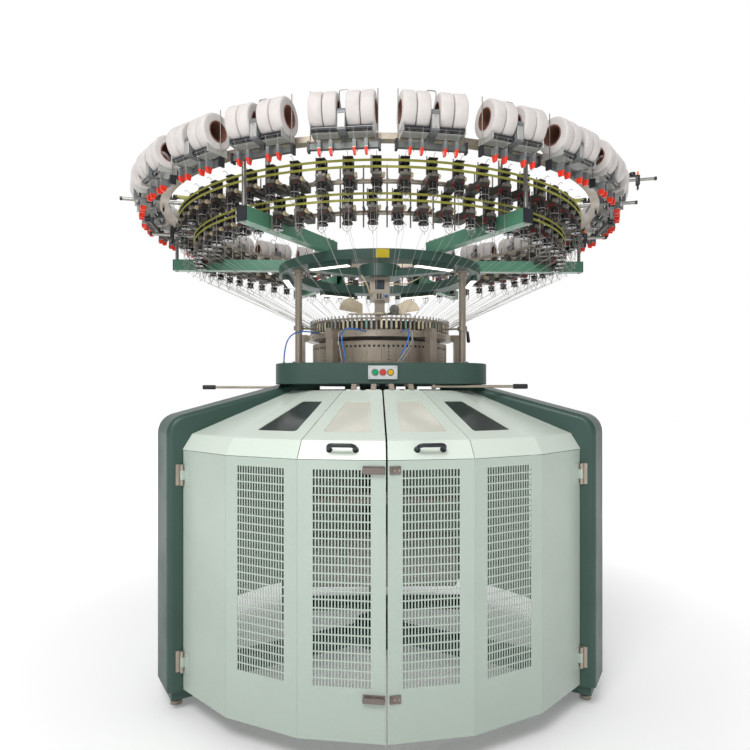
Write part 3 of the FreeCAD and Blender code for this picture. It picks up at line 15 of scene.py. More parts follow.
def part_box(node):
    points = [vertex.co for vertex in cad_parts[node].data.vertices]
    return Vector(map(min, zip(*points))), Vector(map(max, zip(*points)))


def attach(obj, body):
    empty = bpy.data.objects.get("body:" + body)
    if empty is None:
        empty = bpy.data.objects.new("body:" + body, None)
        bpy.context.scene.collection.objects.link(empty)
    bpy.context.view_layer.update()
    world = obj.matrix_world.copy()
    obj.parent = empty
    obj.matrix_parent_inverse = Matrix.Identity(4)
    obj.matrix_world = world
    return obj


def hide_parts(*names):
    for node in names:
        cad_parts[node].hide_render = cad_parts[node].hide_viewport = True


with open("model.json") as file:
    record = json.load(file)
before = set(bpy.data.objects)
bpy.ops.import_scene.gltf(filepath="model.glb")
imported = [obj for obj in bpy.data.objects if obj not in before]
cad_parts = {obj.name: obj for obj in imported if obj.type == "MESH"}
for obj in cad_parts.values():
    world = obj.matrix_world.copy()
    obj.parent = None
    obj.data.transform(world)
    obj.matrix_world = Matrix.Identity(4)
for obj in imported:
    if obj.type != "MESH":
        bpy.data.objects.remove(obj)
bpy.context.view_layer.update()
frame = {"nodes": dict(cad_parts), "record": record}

ARM_AZIMUTHS = (-150, -90, -30, 30, 90, 150)
LEG_AZIMUTHS = (-60, 60, 180)
COLUMN_RADIUS = 0.579
UNIT_COUNT = 24
FEEDER_COUNT = 60
CARRIER_COUNT = 96
CARRIER_LOW = 2.069
CAM_COUNT = 32
NEEDLE_COUNT = 360
FACET = 18


# ---- colours and shared effects ------------------------------------------------------------------


def shade(code):
    """Linear colour from a hexadecimal one."""
    channels = [int(code[index:index + 2], 16) / 255 for index in (0, 2, 4)]
    return tuple(c / 12.92 if c <= 0.04045 else ((c + 0.055) / 1.055) ** 2.4 for c in channels) + (1.0,)


def new_group(name, inputs, outputs):
    """An empty shader group with its sockets."""
    group = bpy.data.node_groups.new(name, "ShaderNodeTree")
    for word, kind, value in inputs:
        socket = group.interface.new_socket(word, in_out="INPUT", socket_type=kind)
        if value is not None:
            socket.default_value = value
    for word, kind in outputs:
        group.interface.new_socket(word, in_out="OUTPUT", socket_type=kind)
    return group, group.nodes.new("NodeGroupInput"), group.nodes.new("NodeGroupOutput")


def noise(tree, vector, scale, detail=3.0, rough=0.55):
    node = tree.nodes.new("ShaderNodeTexNoise")
    node.inputs["Detail"].default_value = detail
    node.inputs["Roughness"].default_value = rough
    tree.links.new(vector, node.inputs["Vector"])
    if isinstance(scale, (int, float)):
        node.inputs["Scale"].default_value = scale
    else:
        tree.links.new(scale, node.inputs["Scale"])
    return node.outputs["Fac"]


def remap(tree, value, low, high, to_low=0.0, to_high=1.0):
    node = tree.nodes.new("ShaderNodeMapRange")
    node.interpolation_type = "SMOOTHSTEP"
    tree.links.new(value, node.inputs["Value"])
    for word, number in (("From Min", low), ("From Max", high), ("To Min", to_low), ("To Max", to_high)):
        if isinstance(number, (int, float)):
            node.inputs[word].default_value = number
        else:
            tree.links.new(number, node.inputs[word])
    return node.outputs["Result"]


def math_node(tree, operation, first, second):
    node = tree.nodes.new("ShaderNodeMath")
    node.operation = operation
    for socket, value in zip(node.inputs, (first, second)):
        if isinstance(value, (int, float)):
            socket.default_value = value
        else:
            tree.links.new(value, socket)
    return node.outputs[0]


def mix_colour(tree, fac, first, second, blend="MIX"):
    node = tree.nodes.new("ShaderNodeMix")
    node.data_type = "RGBA"
    node.blend_type = blend
    for socket, value in ((node.inputs[0], fac), (node.inputs[6], first), (node.inputs[7], second)):
        if hasattr(value, "is_output"):
            tree.links.new(value, socket)
        else:
            socket.default_value = value
    return node.outputs[2]


def make_tone_group():
    """Broad and fine changes of colour."""
    group, given, result = new_group(
        "uneven_tone",
        (
            ("Vector", "NodeSocketVector", None),
            ("Colour", "NodeSocketColor", (0.5, 0.5, 0.5, 1)),
            ("Second Colour", "NodeSocketColor", (0.4, 0.4, 0.4, 1)),
            ("Amount", "NodeSocketFloat", 0.2),
            ("Scale", "NodeSocketFloat", 4.0),
            ("Roughness", "NodeSocketFloat", 0.5),
        ),
        (("Colour", "NodeSocketColor"), ("Roughness", "NodeSocketFloat"), ("Mask", "NodeSocketFloat")),
    )
    vector = given.outputs["Vector"]
    broad = noise(group, vector, given.outputs["Scale"], 4.0)
    fine = noise(group, vector, math_node(group, "MULTIPLY", given.outputs["Scale"], 23.0), 2.0)
    both = math_node(
        group, "ADD", math_node(group, "MULTIPLY", broad, 0.7), math_node(group, "MULTIPLY", fine, 0.3)
    )
    mask = remap(group, both, 0.35, 0.68)
    amount = math_node(group, "MULTIPLY", mask, given.outputs["Amount"])
    colour = mix_colour(group, amount, given.outputs["Colour"], given.outputs["Second Colour"])
    shift = math_node(group, "MULTIPLY", math_node(group, "SUBTRACT", mask, 0.5), 0.14)
    group.links.new(colour, result.inputs["Colour"])
    group.links.new(math_node(group, "ADD", given.outputs["Roughness"], shift), result.inputs["Roughness"])
    group.links.new(mask, result.inputs["Mask"])
    return group


def make_grain_group():
    """The height of a surface's own grain: paint peel, casting skin, or lines where it is stretched."""
    group, given, result = new_group(
        "surface_grain",
        (
            ("Vector", "NodeSocketVector", None),
            ("Scale", "NodeSocketFloat", 400.0),
            ("Depth", "NodeSocketFloat", 1.0),
        ),
        (("Height", "NodeSocketFloat"),),
    )
    coarse = noise(group, given.outputs["Vector"], given.outputs["Scale"], 2.0)
    finer = noise(
        group, given.outputs["Vector"], math_node(group, "MULTIPLY", given.outputs["Scale"], 3.1), 1.0
    )
    height = math_node(group, "ADD", coarse, math_node(group, "MULTIPLY", finer, 0.4))
    group.links.new(math_node(group, "MULTIPLY", height, given.outputs["Depth"]), result.inputs["Height"])
    return group


TONE = make_tone_group()
GRAIN = make_grain_group()


def stretched(tree, vector, stretch):
    node = tree.nodes.new("ShaderNodeMapping")
    node.inputs["Scale"].default_value = stretch
    tree.links.new(vector, node.inputs["Vector"])
    return node.outputs["Vector"]


def add_bump(tree, shader, height, strength, distance):
    bump = tree.nodes.new("ShaderNodeBump")
    bump.inputs["Strength"].default_value = strength
    bump.inputs["Distance"].default_value = distance
    tree.links.new(height, bump.inputs["Height"])
    tree.links.new(bump.outputs["Normal"], shader.inputs["Normal"])


def finish_material(name, colour, second, rough, metal=0.0, amount=0.5, tone=4.0, grain=900.0,
                    stretch=(1, 1, 1), depth=0.15, distance=0.0004, **sockets):
    """The shared base of every finish: uneven tone and roughness, with a grain in the surface."""
    material = bpy.data.materials.new(name)
    material.use_nodes = True
    tree = material.node_tree
    shader = tree.nodes["Principled BSDF"]
    where = tree.nodes.new("ShaderNodeTexCoord").outputs["Object"]
    tone_node = tree.nodes.new("ShaderNodeGroup")
    tone_node.node_tree = TONE
    for word, value in (("Colour", shade(colour)), ("Second Colour", shade(second)), ("Amount", amount),
                        ("Scale", tone), ("Roughness", rough)):
        tone_node.inputs[word].default_value = value
    tree.links.new(where, tone_node.inputs["Vector"])
    tree.links.new(tone_node.outputs["Colour"], shader.inputs["Base Color"])
    tree.links.new(tone_node.outputs["Roughness"], shader.inputs["Roughness"])
    grain_node = tree.nodes.new("ShaderNodeGroup")
    grain_node.node_tree = GRAIN
    grain_node.inputs["Scale"].default_value = grain
    tree.links.new(stretched(tree, where, stretch), grain_node.inputs["Vector"])
    add_bump(tree, shader, grain_node.outputs["Height"], depth, distance)
    shader.inputs["Metallic"].default_value = metal
    for word, value in sockets.items():
        shader.inputs[word.replace("_", " ")].default_value = value
    return material


def add_lines(tree, shader, lines, colour, amount, height, distance):
    """Lays lines over a finish, in colour and in relief."""
    before = shader.inputs["Base Color"].links[0].from_socket
    fac = math_node(tree, "MULTIPLY", lines, amount)
    tree.links.new(mix_colour(tree, fac, before, shade(colour)), shader.inputs["Base Color"])
    add_bump(tree, shader, lines, height, distance)


def with_wave(material, colour, scale, direction="Z", amount=0.5, height=0.6, distance=0.0008, detail=0.0):
    """Adds even lines across one axis, in colour and in relief, over the material's own finish."""
    tree = material.node_tree
    shader = tree.nodes["Principled BSDF"]
    wave = tree.nodes.new("ShaderNodeTexWave")
    wave.bands_direction = direction
    wave.inputs["Scale"].default_value = scale
    wave.inputs["Distortion"].default_value = detail
    where = [node for node in tree.nodes if node.type == "TEX_COORD"][0].outputs["Object"]
    tree.links.new(where, wave.inputs["Vector"])
    add_lines(tree, shader, wave.outputs["Fac"], colour, amount, height, distance)


def around_lines(material, count, colour, amount=0.5, height=0.5, distance=0.001):
    """Adds lines that repeat round the machine's axis, such as the teeth of a belt."""
    tree = material.node_tree
    shader = tree.nodes["Principled BSDF"]
    where = [node for node in tree.nodes if node.type == "TEX_COORD"][0].outputs["Object"]
    split = tree.nodes.new("ShaderNodeSeparateXYZ")
    tree.links.new(where, split.inputs[0])
    angle = math_node(tree, "ARCTAN2", split.outputs["Y"], split.outputs["X"])
    teeth = math_node(tree, "SINE", math_node(tree, "MULTIPLY", angle, count), 0.0)
    add_lines(tree, shader, remap(tree, teeth, -0.2, 0.2), colour, amount, height, distance)


ENAMEL = dict(Coat_Weight=0.25, Coat_Roughness=0.25)

# Colour, second colour and roughness of each finish, and what sets it apart from the shared base
FINISH_ROWS = {
    "guard_mint": ("B0BDB2", "A4B1A7", 0.42, dict(amount=0.35, tone=2.2, depth=0.10, **ENAMEL)),
    # A lighter copy of the guard's mint paint for the roof panels and lids: painted light, for the top light
    # that falls on them
    "roof_mint_painted_light": ("D9E3D8", "CCD8CE", 0.36, dict(amount=0.35, tone=2.2, depth=0.10, **ENAMEL)),
    "frame_green": ("2E4B42", "26423A", 0.50, dict(
        amount=0.4, tone=3.0, grain=500.0, depth=0.2, Coat_Weight=0.08, Coat_Roughness=0.3
    )),
    "arm_green": ("4F8169", "45745D", 0.36, dict(amount=0.4, tone=5.0, grain=600.0, **ENAMEL)),
    "warm_steel": ("AFA496", "93897B", 0.36, dict(
        metal=0.6, tone=9.0, grain=260.0, stretch=(1, 1, 6), depth=0.2
    )),
    "cam_steel": ("A89C8D", "8F8475", 0.40, dict(
        metal=0.45, amount=0.6, tone=14.0, grain=500.0, stretch=(1, 1, 3), depth=0.2
    )),
    "silver": ("A19E99", "86837E", 0.30, dict(
        metal=0.8, amount=0.4, tone=9.0, grain=400.0, stretch=(1, 1, 5)
    )),
    "feeder_dark": ("45423D", "35322E", 0.40, dict(metal=0.25, amount=0.6, tone=30.0)),
    "bracket_grey": ("8E8982", "6F6A63", 0.42, dict(metal=0.45, amount=0.6, tone=30.0, grain=700.0)),
    "carrier_green": ("7FA394", "6C9182", 0.35, dict(tone=60.0)),
    "yarn_thread": ("B9B4AD", "8F8A83", 0.7, dict(amount=0.8, tone=16.0, grain=1200.0)),
    "black": ("1E2026", "2B2D33", 0.45, dict(tone=20.0, grain=1500.0)),
    "gloss_black": ("15171D", "20222A", 0.16, dict(
        amount=0.4, tone=20.0, depth=0.05, Coat_Weight=0.6, Coat_Roughness=0.08
    )),
    "grey_housing": ("6C6F70", "5D6061", 0.42, dict(tone=12.0, grain=1400.0)),
    "rail_grey": ("ADADA9", "9B9B97", 0.40, dict(metal=0.2, amount=0.4, tone=6.0, grain=700.0)),
    "panel_grey": ("C6CACA", "B7BBBB", 0.35, dict(metal=0.1, amount=0.4, tone=12.0)),
    "green_button": ("0E9A63", "0B8656", 0.22, dict(tone=40.0, depth=0.05, Coat_Weight=0.4)),
    "red_button": ("D6382A", "C02D22", 0.22, dict(tone=40.0, depth=0.05, Coat_Weight=0.4)),
    "yellow_button": ("DDAA0A", "CC9A06", 0.22, dict(tone=40.0, depth=0.05, Coat_Weight=0.4)),
    "fan_cream": ("E4D6BC", "D4C2A0", 0.45, dict(amount=0.6, tone=9.0, grain=700.0)),
    "hose_blue": ("2E77C7", "2467B2", 0.28, dict(tone=30.0, depth=0.06, Coat_Weight=0.3)),
    "grip_black": ("17181C", "24262B", 0.5, dict(tone=40.0, grain=1800.0, depth=0.3)),
    "cast_grey": ("6E706E", "585A58", 0.55, dict(metal=0.7, amount=0.6, tone=12.0, grain=350.0, depth=0.4)),
    "latch_grey": ("776C66", "675C56", 0.40, dict(metal=0.3, tone=20.0, grain=700.0, Coat_Weight=0.2)),
    "motor_paint": ("2E3A44", "232D36", 0.40, dict(tone=14.0, grain=500.0, **ENAMEL)),
    "sign_yellow": ("B8A51A", "A9960F", 0.38, dict(amount=0.4, tone=14.0)),
    "tip_red": ("E0341C", "C92712", 0.22, dict(
        amount=0.4, tone=60.0, depth=0.05, Coat_Weight=0.4, Subsurface_Weight=0.1
    )),
    "clamp_orange": ("F07A1E", "DD6A12", 0.35, dict(tone=30.0)),
    "lever_red": ("7A1F22", "651619", 0.40, dict(tone=60.0)),
    "knob_beige": ("CDBB98", "BBA982", 0.42, dict(tone=60.0)),
    "carrier_tip": ("E7DDBE", "D6C9A2", 0.30, dict(metal=0.2, tone=60.0)),
    "yarn_white": ("C6C0BD", "B3ADAA", 0.75, dict(tone=20.0, grain=1200.0, depth=0.4, Sheen_Weight=0.35)),
    "cloth": ("E6E3DC", "D7D3CA", 0.85, dict(tone=8.0, Sheen_Weight=0.4)),
    "card_brown": ("7A5140", "6A4434", 0.7, dict(tone=20.0, grain=700.0)),
    "belt_yellow": ("A9A84C", "96953F", 0.5, dict(tone=9.0)),
    "lamp_white": ("FFF6E8", "FFF1DD", 0.4, dict(amount=0.3, tone=10.0, grain=400.0)),
    # The roof windows' dark grey is painted shade for the machine's dark inside seen through them; the glass
    # also lets part of the light through
    "window_painted_shade": ("5E6664", "474F4D", 0.14, dict(
        amount=0.7, tone=5.0, grain=60.0, depth=0.02, Transmission_Weight=0.55, IOR=1.3
    )),
    # The lid windows' pale cream colour is a painted reflection; the glass also lets some light through
    "acrylic": ("F3F1E4", "E2E2D6", 0.10, dict(
        amount=0.6, tone=5.0, grain=60.0, depth=0.02, Transmission_Weight=0.25, IOR=1.45
    )),
}


def with_glow(material, strength):
    """Lets a material give light in its own colour, as a frosted lamp cover does."""
    tree = material.node_tree
    shader = tree.nodes["Principled BSDF"]
    before = shader.inputs["Base Color"].links[0].from_socket
    tree.links.new(before, shader.inputs["Emission Color"])
    shader.inputs["Emission Strength"].default_value = strength


def make_finishes():
    """Every finish on the machine, by the name of its slot."""
    made = {name: finish_material(name, *row[:3], **row[3]) for name, row in FINISH_ROWS.items()}
    with_glow(made["lamp_white"], 2.2)
    with_wave(made["cloth"], "C9C5BC", 260.0, "X", 0.35, 0.5)
    with_wave(made["card_brown"], "5C3B2E", 90.0, "DIAGONAL", 0.4, 0.3)
    around_lines(made["belt_yellow"], 1600, "7F7E36", 0.55)
    return made


FINISHES = make_finishes()

# Nodes whose finish differs from the rest of their slot
NODE_FINISHES = {
    "roof_windows": "window_painted_shade",
    # The roof panels and lids take the lighter mint, painted light on these top surfaces
    "roof_panels": "roof_mint_painted_light",
    "lid_left": "roof_mint_painted_light",
    "lid_right": "roof_mint_painted_light",
}


# ---- modelling helpers ---------------------------------------------------------------------------


def turn(azimuth):
    return Matrix.Rotation(math.radians(azimuth), 4, "Z")


def turns(count, start=0.0):
    """Even turns about the machine's axis."""
    return [turn(start + 360.0 * index / count) for index in range(count)]


def bar(bm, start, end, radius, segments=10, end_radius=None, caps=True):
    """A round bar or a taper between two points."""
    way = Vector(end) - Vector(start)
    aim = way.to_track_quat("Z", "Y").to_matrix().to_4x4()
    place = Matrix.Translation((Vector(start) + Vector(end)) / 2) @ aim
    tip = radius if end_radius is None else end_radius
    return bmesh.ops.create_cone(
        bm, cap_ends=caps, segments=segments, radius1=radius, radius2=tip, depth=way.length, matrix=place
    )["verts"]


def wire(bm, points, radius, segments=6):
    """A bent wire: bars that meet at round joints."""
    for start, end in zip(points, points[1:]):
        bar(bm, start, end, radius, segments)
    for point in points[1:-1]:
        bmesh.ops.create_icosphere(bm, subdivisions=1, radius=radius, matrix=Matrix.Translation(point))


def round_edges(bm, verts, offset, segments):
    """Rounds the edges that meet at some vertices."""
    edges = list({edge for vert in verts for edge in vert.link_edges})
    bmesh.ops.bevel(
        bm, geom=edges, offset=offset, segments=segments, profile=0.5, affect="EDGES", material=-1
    )


def box(bm, low, high, bevel=0.0, segments=2):
    """A box from its two corners, with rounded edges."""
    low, high = Vector(low), Vector(high)
    place = Matrix.Translation((low + high) / 2) @ Matrix.Diagonal((*(high - low), 1))
    made = bmesh.ops.create_cube(bm, size=1, matrix=place)["verts"]
    if bevel:
        round_edges(bm, made, bevel, segments)
    return made


def lathe(bm, profile, centre=(0, 0, 0), axis=(0, 0, 1), segments=24):
    """A turned shape: pairs of distance along the axis and radius, spun round it."""
    axis = Vector(axis).normalized()
    side = axis.orthogonal().normalized()
    verts = [bm.verts.new(Vector(centre) + axis * along + side * radius) for along, radius in profile]
    edges = [bm.edges.new(pair) for pair in zip(verts, verts[1:])]
    bmesh.ops.spin(
        bm, geom=verts + edges, cent=centre, axis=axis, angle=math.tau, steps=segments, use_merge=True
    )
    bmesh.ops.remove_doubles(bm, verts=bm.verts, dist=1e-6)
    bmesh.ops.recalc_face_normals(bm, faces=bm.faces)


def screw(bm, place, out, radius=0.006, head=0.004):
    """A socket screw's head with a hexagonal recess."""
    profile = [(0.0, radius), (head * 0.75, radius), (head, radius * 0.85), (head, radius * 0.5)]
    profile += [(head * 0.4, radius * 0.45), (head * 0.4, 0.0)]
    placed(bm, None, lathe, profile, Vector(place), Vector(out).normalized(), 12)


def merge(bm, other, place=None):
    """Adds another bmesh to this one and frees it."""
    mesh = bpy.data.meshes.new("part")
    if place is not None:
        bmesh.ops.transform(other, matrix=place, verts=other.verts)
    other.to_mesh(mesh)
    other.free()
    bm.from_mesh(mesh)
    bpy.data.meshes.remove(mesh)


def placed(bm, place, make, *shape):
    """Makes one shape by itself and adds it at a place."""
    seed = bmesh.new()
    make(seed, *shape)
    merge(bm, seed, place)


def repeated(seed, places):
    """One bmesh of a seed's copies."""
    mesh = bpy.data.meshes.new("seed")
    seed.to_mesh(mesh)
    seed.free()
    whole = bmesh.new()
    for place in places:
        before = len(whole.verts)
        whole.from_mesh(mesh)
        whole.verts.ensure_lookup_table()
        bmesh.ops.transform(whole, matrix=place, verts=whole.verts[before:])
    bpy.data.meshes.remove(mesh)
    return whole


def new_object(name, data):
    """An object in the scene."""
    made = bpy.data.objects.new(name, data)
    bpy.context.scene.collection.objects.link(made)
    return made


def finished(name, bm, finish, body="machine", smooth=35):
    """Turns a bmesh into a piece that rides on a body."""
    mesh = bpy.data.meshes.new(name)
    bm.to_mesh(mesh)
    bm.free()
    mesh.materials.append(FINISHES[finish])
    for polygon in mesh.polygons:
        polygon.use_smooth = True
    mesh.set_sharp_from_angle(angle=math.radians(smooth))
    piece = new_object(name, mesh)
    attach(piece, body)
    return piece


def finish_all(places, *rows):
    """Repeats each seed at the same places: a piece's name, its seed and its finish to a row."""
    for name, seed, finish in rows:
        finished(name, repeated(seed, places), finish)


# ---- the CAD nodes' finishes ---------------------------------------------------------------------


def slots_of_nodes():
    return {entry["node"]: entry["material_slot"] for entry in frame["record"]["subparts"]}


def dress_nodes():
    """Every node takes the finish of its own slot."""
    for node, slot_name in slots_of_nodes().items():
        target = frame["nodes"][node]
        target.data.materials.clear()
        target.data.materials.append(FINISHES[NODE_FINISHES.get(node, slot_name)])


# ---- creel ---------------------------------------------------------------------------------------


def unit_places():
    return turns(UNIT_COUNT, 180.0 / UNIT_COUNT)


PACKAGE_RADIUS = 0.084
PACKAGE_WIDE = 0.058
PACKAGE_BORE = 0.0478
PACKAGE_PLACE = 1.4375
PACKAGE_SPOTS = (-0.110, -0.049, 0.049, 0.110)
HOUSING_FACE = 1.504
DRUM_FRONT = 1.489
package_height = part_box("yarn_packages")[1][2] - PACKAGE_RADIUS


def package_places():
    return [
        unit @ Matrix.Translation((spot, -PACKAGE_PLACE, package_height))
        for unit in unit_places() for spot in PACKAGE_SPOTS
    ]


def make_packages():
    """Wound packages with rounded shoulders and shallow rings of winding on their sides."""
    half = PACKAGE_WIDE / 2
    outer, bore = PACKAGE_RADIUS, PACKAGE_BORE + 0.0002
    profile = [(-half + 0.001, bore), (-half, bore + 0.006), (-half + 0.0012, (bore + outer) / 2)]
    profile += [(-half, outer - 0.008), (-half + 0.0025, outer - 0.0025), (-half + 0.008, outer)]
    profile += [(0.0, outer + 0.0002), (half - 0.008, outer), (half - 0.0025, outer - 0.0025)]
    profile += [
        (half, outer - 0.008), (half - 0.0012, (bore + outer) / 2), (half, bore + 0.006), (half - 0.001, bore)
    ]
    seed = bmesh.new()
    lathe(seed, profile, (0, 0, 0), (1, 0, 0), 40)
    piece = finished(
        "wound_packages", repeated(seed, package_places()), "yarn_white", smooth=50
    )
    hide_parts("yarn_packages")


def make_tube_rims():
    """The rolled paper edge round both mouths of every package tube."""
    seed = bmesh.new()
    inner, crest, outer = PACKAGE_BORE - 0.0052, PACKAGE_BORE - 0.003, PACKAGE_BORE - 0.0003
    half = PACKAGE_WIDE / 2 + 0.001
    lathe(seed, [(half, inner), (half + 0.0006, crest), (half, outer)], (0, 0, 0), (1, 0, 0), 28)
    lathe(seed, [(-half, outer), (-half - 0.0006, crest), (-half, inner)], (0, 0, 0), (1, 0, 0), 28)
    finished("tube_rims", repeated(seed, package_places()), "card_brown")


beam_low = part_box("sensor_beams")[0][2]
sensor_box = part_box("yarn_sensors")


def make_sensor_tips():
    """Red tips under the yarn sensors, with a collar round each and a small dark hook at its side."""
    low = sensor_box[0][2]
    tips, eyes, cases = bmesh.new(), bmesh.new(), bmesh.new()
    for spot in (-0.100, -0.050, 0.050, 0.100):
        tip = box(tips, (spot - 0.0075, -1.4760, low - 0.027), (spot + 0.0075, -1.4420, low + 0.0005))
        for vert in tip:
            if vert.co.z < low - 0.02:
                vert.co.x = spot + (vert.co.x - spot) * 0.62
                vert.co.y = -1.459 + (vert.co.y + 1.459) * 0.72
        round_edges(tips, tip, 0.002, 1)
        box(cases, (spot - 0.0080, -1.4745, low - 0.001), (spot + 0.0080, -1.4402, low + 0.003), 0.0008, 1)
        wire(eyes, [(spot + 0.008, -1.466, low - 0.008), (spot + 0.014, -1.470, low - 0.012),
                    (spot + 0.014, -1.472, low - 0.020)], 0.0011, 5)
    finish_all(
        unit_places(),
        ("sensor_tips", tips, "tip_red"),
        ("sensor_collars", cases, "silver"),
        ("sensor_hooks", eyes, "black"),
    )


def make_yarn_bails():
    """Thin bails over the packages, upright end rods and the pale trays between the drive rollers."""
    seed, trays = bmesh.new(), bmesh.new()
    middle = -PACKAGE_PLACE + 0.012
    top = package_height + PACKAGE_RADIUS + 0.020
    rod = 0.0023
    for side in (-1, 1):
        x = 0.0205 * side
        foot = package_height - (0.07 if side < 0 else -0.055)
        wire(seed, [(x, middle, foot), (x, middle, top - 0.006), (x * 0.75, middle, top)], rod, 6)
        end = 0.1455 * side
        bar(seed, (end, middle - 0.004, beam_low + 0.030), (end, middle - 0.004, top - 0.004), rod, 6)
        low, high = sorted((0.0195 * side, 0.131 * side))
        box(trays, (low, -1.4680, 2.7865), (high, -1.4075, 2.7895), 0.0008, 1)
        low, high = sorted((0.131 * side, 0.1335 * side))
        box(trays, (low, -1.4950, 2.7800), (high, -1.3800, 2.8180), 0.0008, 1)
    bar(seed, (-0.0154, middle, top), (0.0154, middle, top), rod, 6)
    finish_all(
        unit_places(),
        ("package_bails", seed, "bracket_grey"),
        ("unit_trays", trays, "rail_grey"),
    )


def make_unit_trim():
    """A face plate with two screws on each drive housing."""
    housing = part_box("drive_housings")
    low, high = housing[0][2], housing[1][2]
    plates, screws = bmesh.new(), bmesh.new()
    corners = (-0.015, -HOUSING_FACE - 0.002, low + 0.008), (0.015, -HOUSING_FACE + 0.001, high - 0.030)
    box(plates, *corners, 0.001, 1)
    for z in (low + 0.014, high - 0.036):
        screw(screws, (0, -HOUSING_FACE - 0.002, z), (0, -1, 0), 0.0035, 0.002)
    finish_all(
        unit_places(),
        ("housing_plates", plates, "rail_grey"),
        ("housing_screws", screws, "warm_steel"),
    )


def make_elastane_threads():
    """Fine threads from each package over the drum to its sensor."""
    seed = bmesh.new()
    for spot in PACKAGE_SPOTS:
        near = math.copysign(0.100 if abs(spot) > 0.08 else 0.050, spot)
        bar(seed, (spot, -DRUM_FRONT, 2.800), (near, -1.4725, sensor_box[0][2] + 0.022), 0.0005, 4)
    finished("elastane_threads", repeated(seed, unit_places()), "yarn_white")


# ---- feeders -------------------------------------------------------------------------------------


REACH = 0.110
# Radius, height and first azimuth of the two rings of feeders
FEEDER_RINGS = ((1.040, 2.576, 3.0), (1.130, 2.698, 4.0))


def feeder_places():
    return [
        place @ Matrix.Translation((0, -radius, height))
        for radius, height, start in FEEDER_RINGS
        for place in turns(FEEDER_COUNT, start)
    ]


def make_feeder_trim():
    """What each feeder carries: wire loop, guide wires, brake knob, brackets, stop lever and red lamp."""
    wires, knobs, levers, lamps, brackets = (bmesh.new() for _ in range(5))
    axle = -REACH
    loop = [(-0.020, axle - 0.004, -0.036), (-0.020, axle - 0.012, -0.104), (-0.012, axle - 0.014, -0.118),
            (0.0, axle - 0.015, -0.123), (0.012, axle - 0.014, -0.118), (0.020, axle - 0.012, -0.104),
            (0.020, axle - 0.004, -0.036)]
    wire(wires, loop, 0.0013, 5)
    wire(wires, [(-0.010, axle - 0.027, -0.040), (-0.010, axle - 0.027, -0.098), (0.0, axle - 0.020, -0.112),
                 (0.010, axle - 0.027, -0.098), (0.010, axle - 0.027, -0.040)], 0.0011, 5)
    bar(wires, (0.0, axle - 0.015, -0.123), (0.0, axle - 0.013, -0.136), 0.0016, 5)
    wire(
        wires, [(0.0, axle - 0.012, 0.074), (0.0, axle - 0.034, 0.088), (0.0, axle - 0.046, 0.080)], 0.0012, 5
    )
    bar(brackets, (-0.0265, axle + 0.014, 0.004), (-0.0265, axle + 0.010, 0.086), 0.0042, 6, 0.0028)
    box(brackets, (-0.0245, axle - 0.013, -0.012), (0.0245, axle + 0.004, 0.006), 0.003, 1)
    box(brackets, (-0.010, axle - 0.020, -0.006), (0.010, axle - 0.012, 0.012), 0.002, 1)
    box(brackets, (0.0215, axle + 0.020, -0.026), (0.0265, axle + 0.094, -0.012), 0.0015, 1)
    knob = [(0.0, 0.006), (0.006, 0.006), (0.006, 0.012), (0.014, 0.012), (0.017, 0.008), (0.017, 0.0)]
    placed(knobs, None, lathe, knob, (0.022, axle + 0.010, -0.004), (1, 0, 0), 8)
    box(knobs, (0.024, axle + 0.020, -0.010), (0.036, axle + 0.046, 0.002), 0.003, 1)
    box(levers, (-0.027, axle - 0.006, -0.032), (-0.022, axle + 0.026, -0.020), 0.0015, 1)
    box(levers, (0.006, axle - 0.0145, -0.030), (0.018, axle - 0.0115, -0.022), 0.001, 1)
    lamp = [(0.0, 0.0045), (-0.005, 0.0045), (-0.007, 0.0)]
    placed(lamps, None, lathe, lamp, (-0.016, axle + 0.030, -0.034), (0, 0, 1), 8)
    places = feeder_places()
    finish_all(
        places,
        ("feeder_wires", wires, "silver"),
        ("feeder_brackets", brackets, "bracket_grey"),
        ("feeder_knobs", knobs, "knob_beige"),
        ("feeder_levers", levers, "lever_red"),
        ("feeder_lamps", lamps, "tip_red"),
    )


def make_wheel_rims():
    """The dark edges of each feeder's wheel and pulleys, and the turns of yarn stored on the wheel."""
    yarn, rims = bmesh.new(), bmesh.new()
    profile = [(-0.0725, 0.0212), (-0.0720, 0.0218), (-0.0690, 0.0218), (-0.0685, 0.0212)]
    lathe(yarn, profile, (0, -REACH, 0), (0, 0, 1), 12)
    for low, high, radius in ((0.0405, 0.0415, 0.0222), (0.0585, 0.0595, 0.0222), (0.0105, 0.0115, 0.0222),
                              (0.0285, 0.0295, 0.0222), (-0.0520, -0.0505, 0.0262)):
        lathe(rims, [(low, radius - 0.0006), (low, radius), (high, radius), (high, radius - 0.0006)],
              (0, -REACH, 0), (0, 0, 1), 12)
    finish_all(
        feeder_places(),
        ("wheel_yarn", yarn, "yarn_thread"),
        ("wheel_rims", rims, "feeder_dark"),
    )


def make_ring_rods():
    """Guide rods between the two feeder rings, held by flat clips, and the eyes of the dropped yarns."""
    seed, eyes = bmesh.new(), bmesh.new()
    bar(seed, (0, -1.085, 2.492), (0, -1.085, 2.792), 0.0038, 8)
    for height, low, high in ((2.590, 1.038, 1.091), (2.712, 1.079, 1.132)):
        box(seed, (-0.006, -high, height - 0.003), (0.006, -low, height + 0.001))
    finished("ring_rods", repeated(seed, turns(FEEDER_COUNT, 0.5)), "bracket_grey")
    wire(eyes, [(-0.018, -1.160, 2.548), (-0.010, -1.200, 2.500), (0.0, -1.226, 2.470),
                (0.004, -1.236, 2.466), (0.006, -1.230, 2.462)], 0.0014, 5)
    finished("drop_eyes", repeated(eyes, turns(FEEDER_COUNT, 4.0)), "silver")


# Azimuth and height of the third tube
THIRD_TUBE = 74.0
TUBE_HEIGHT = 2.962


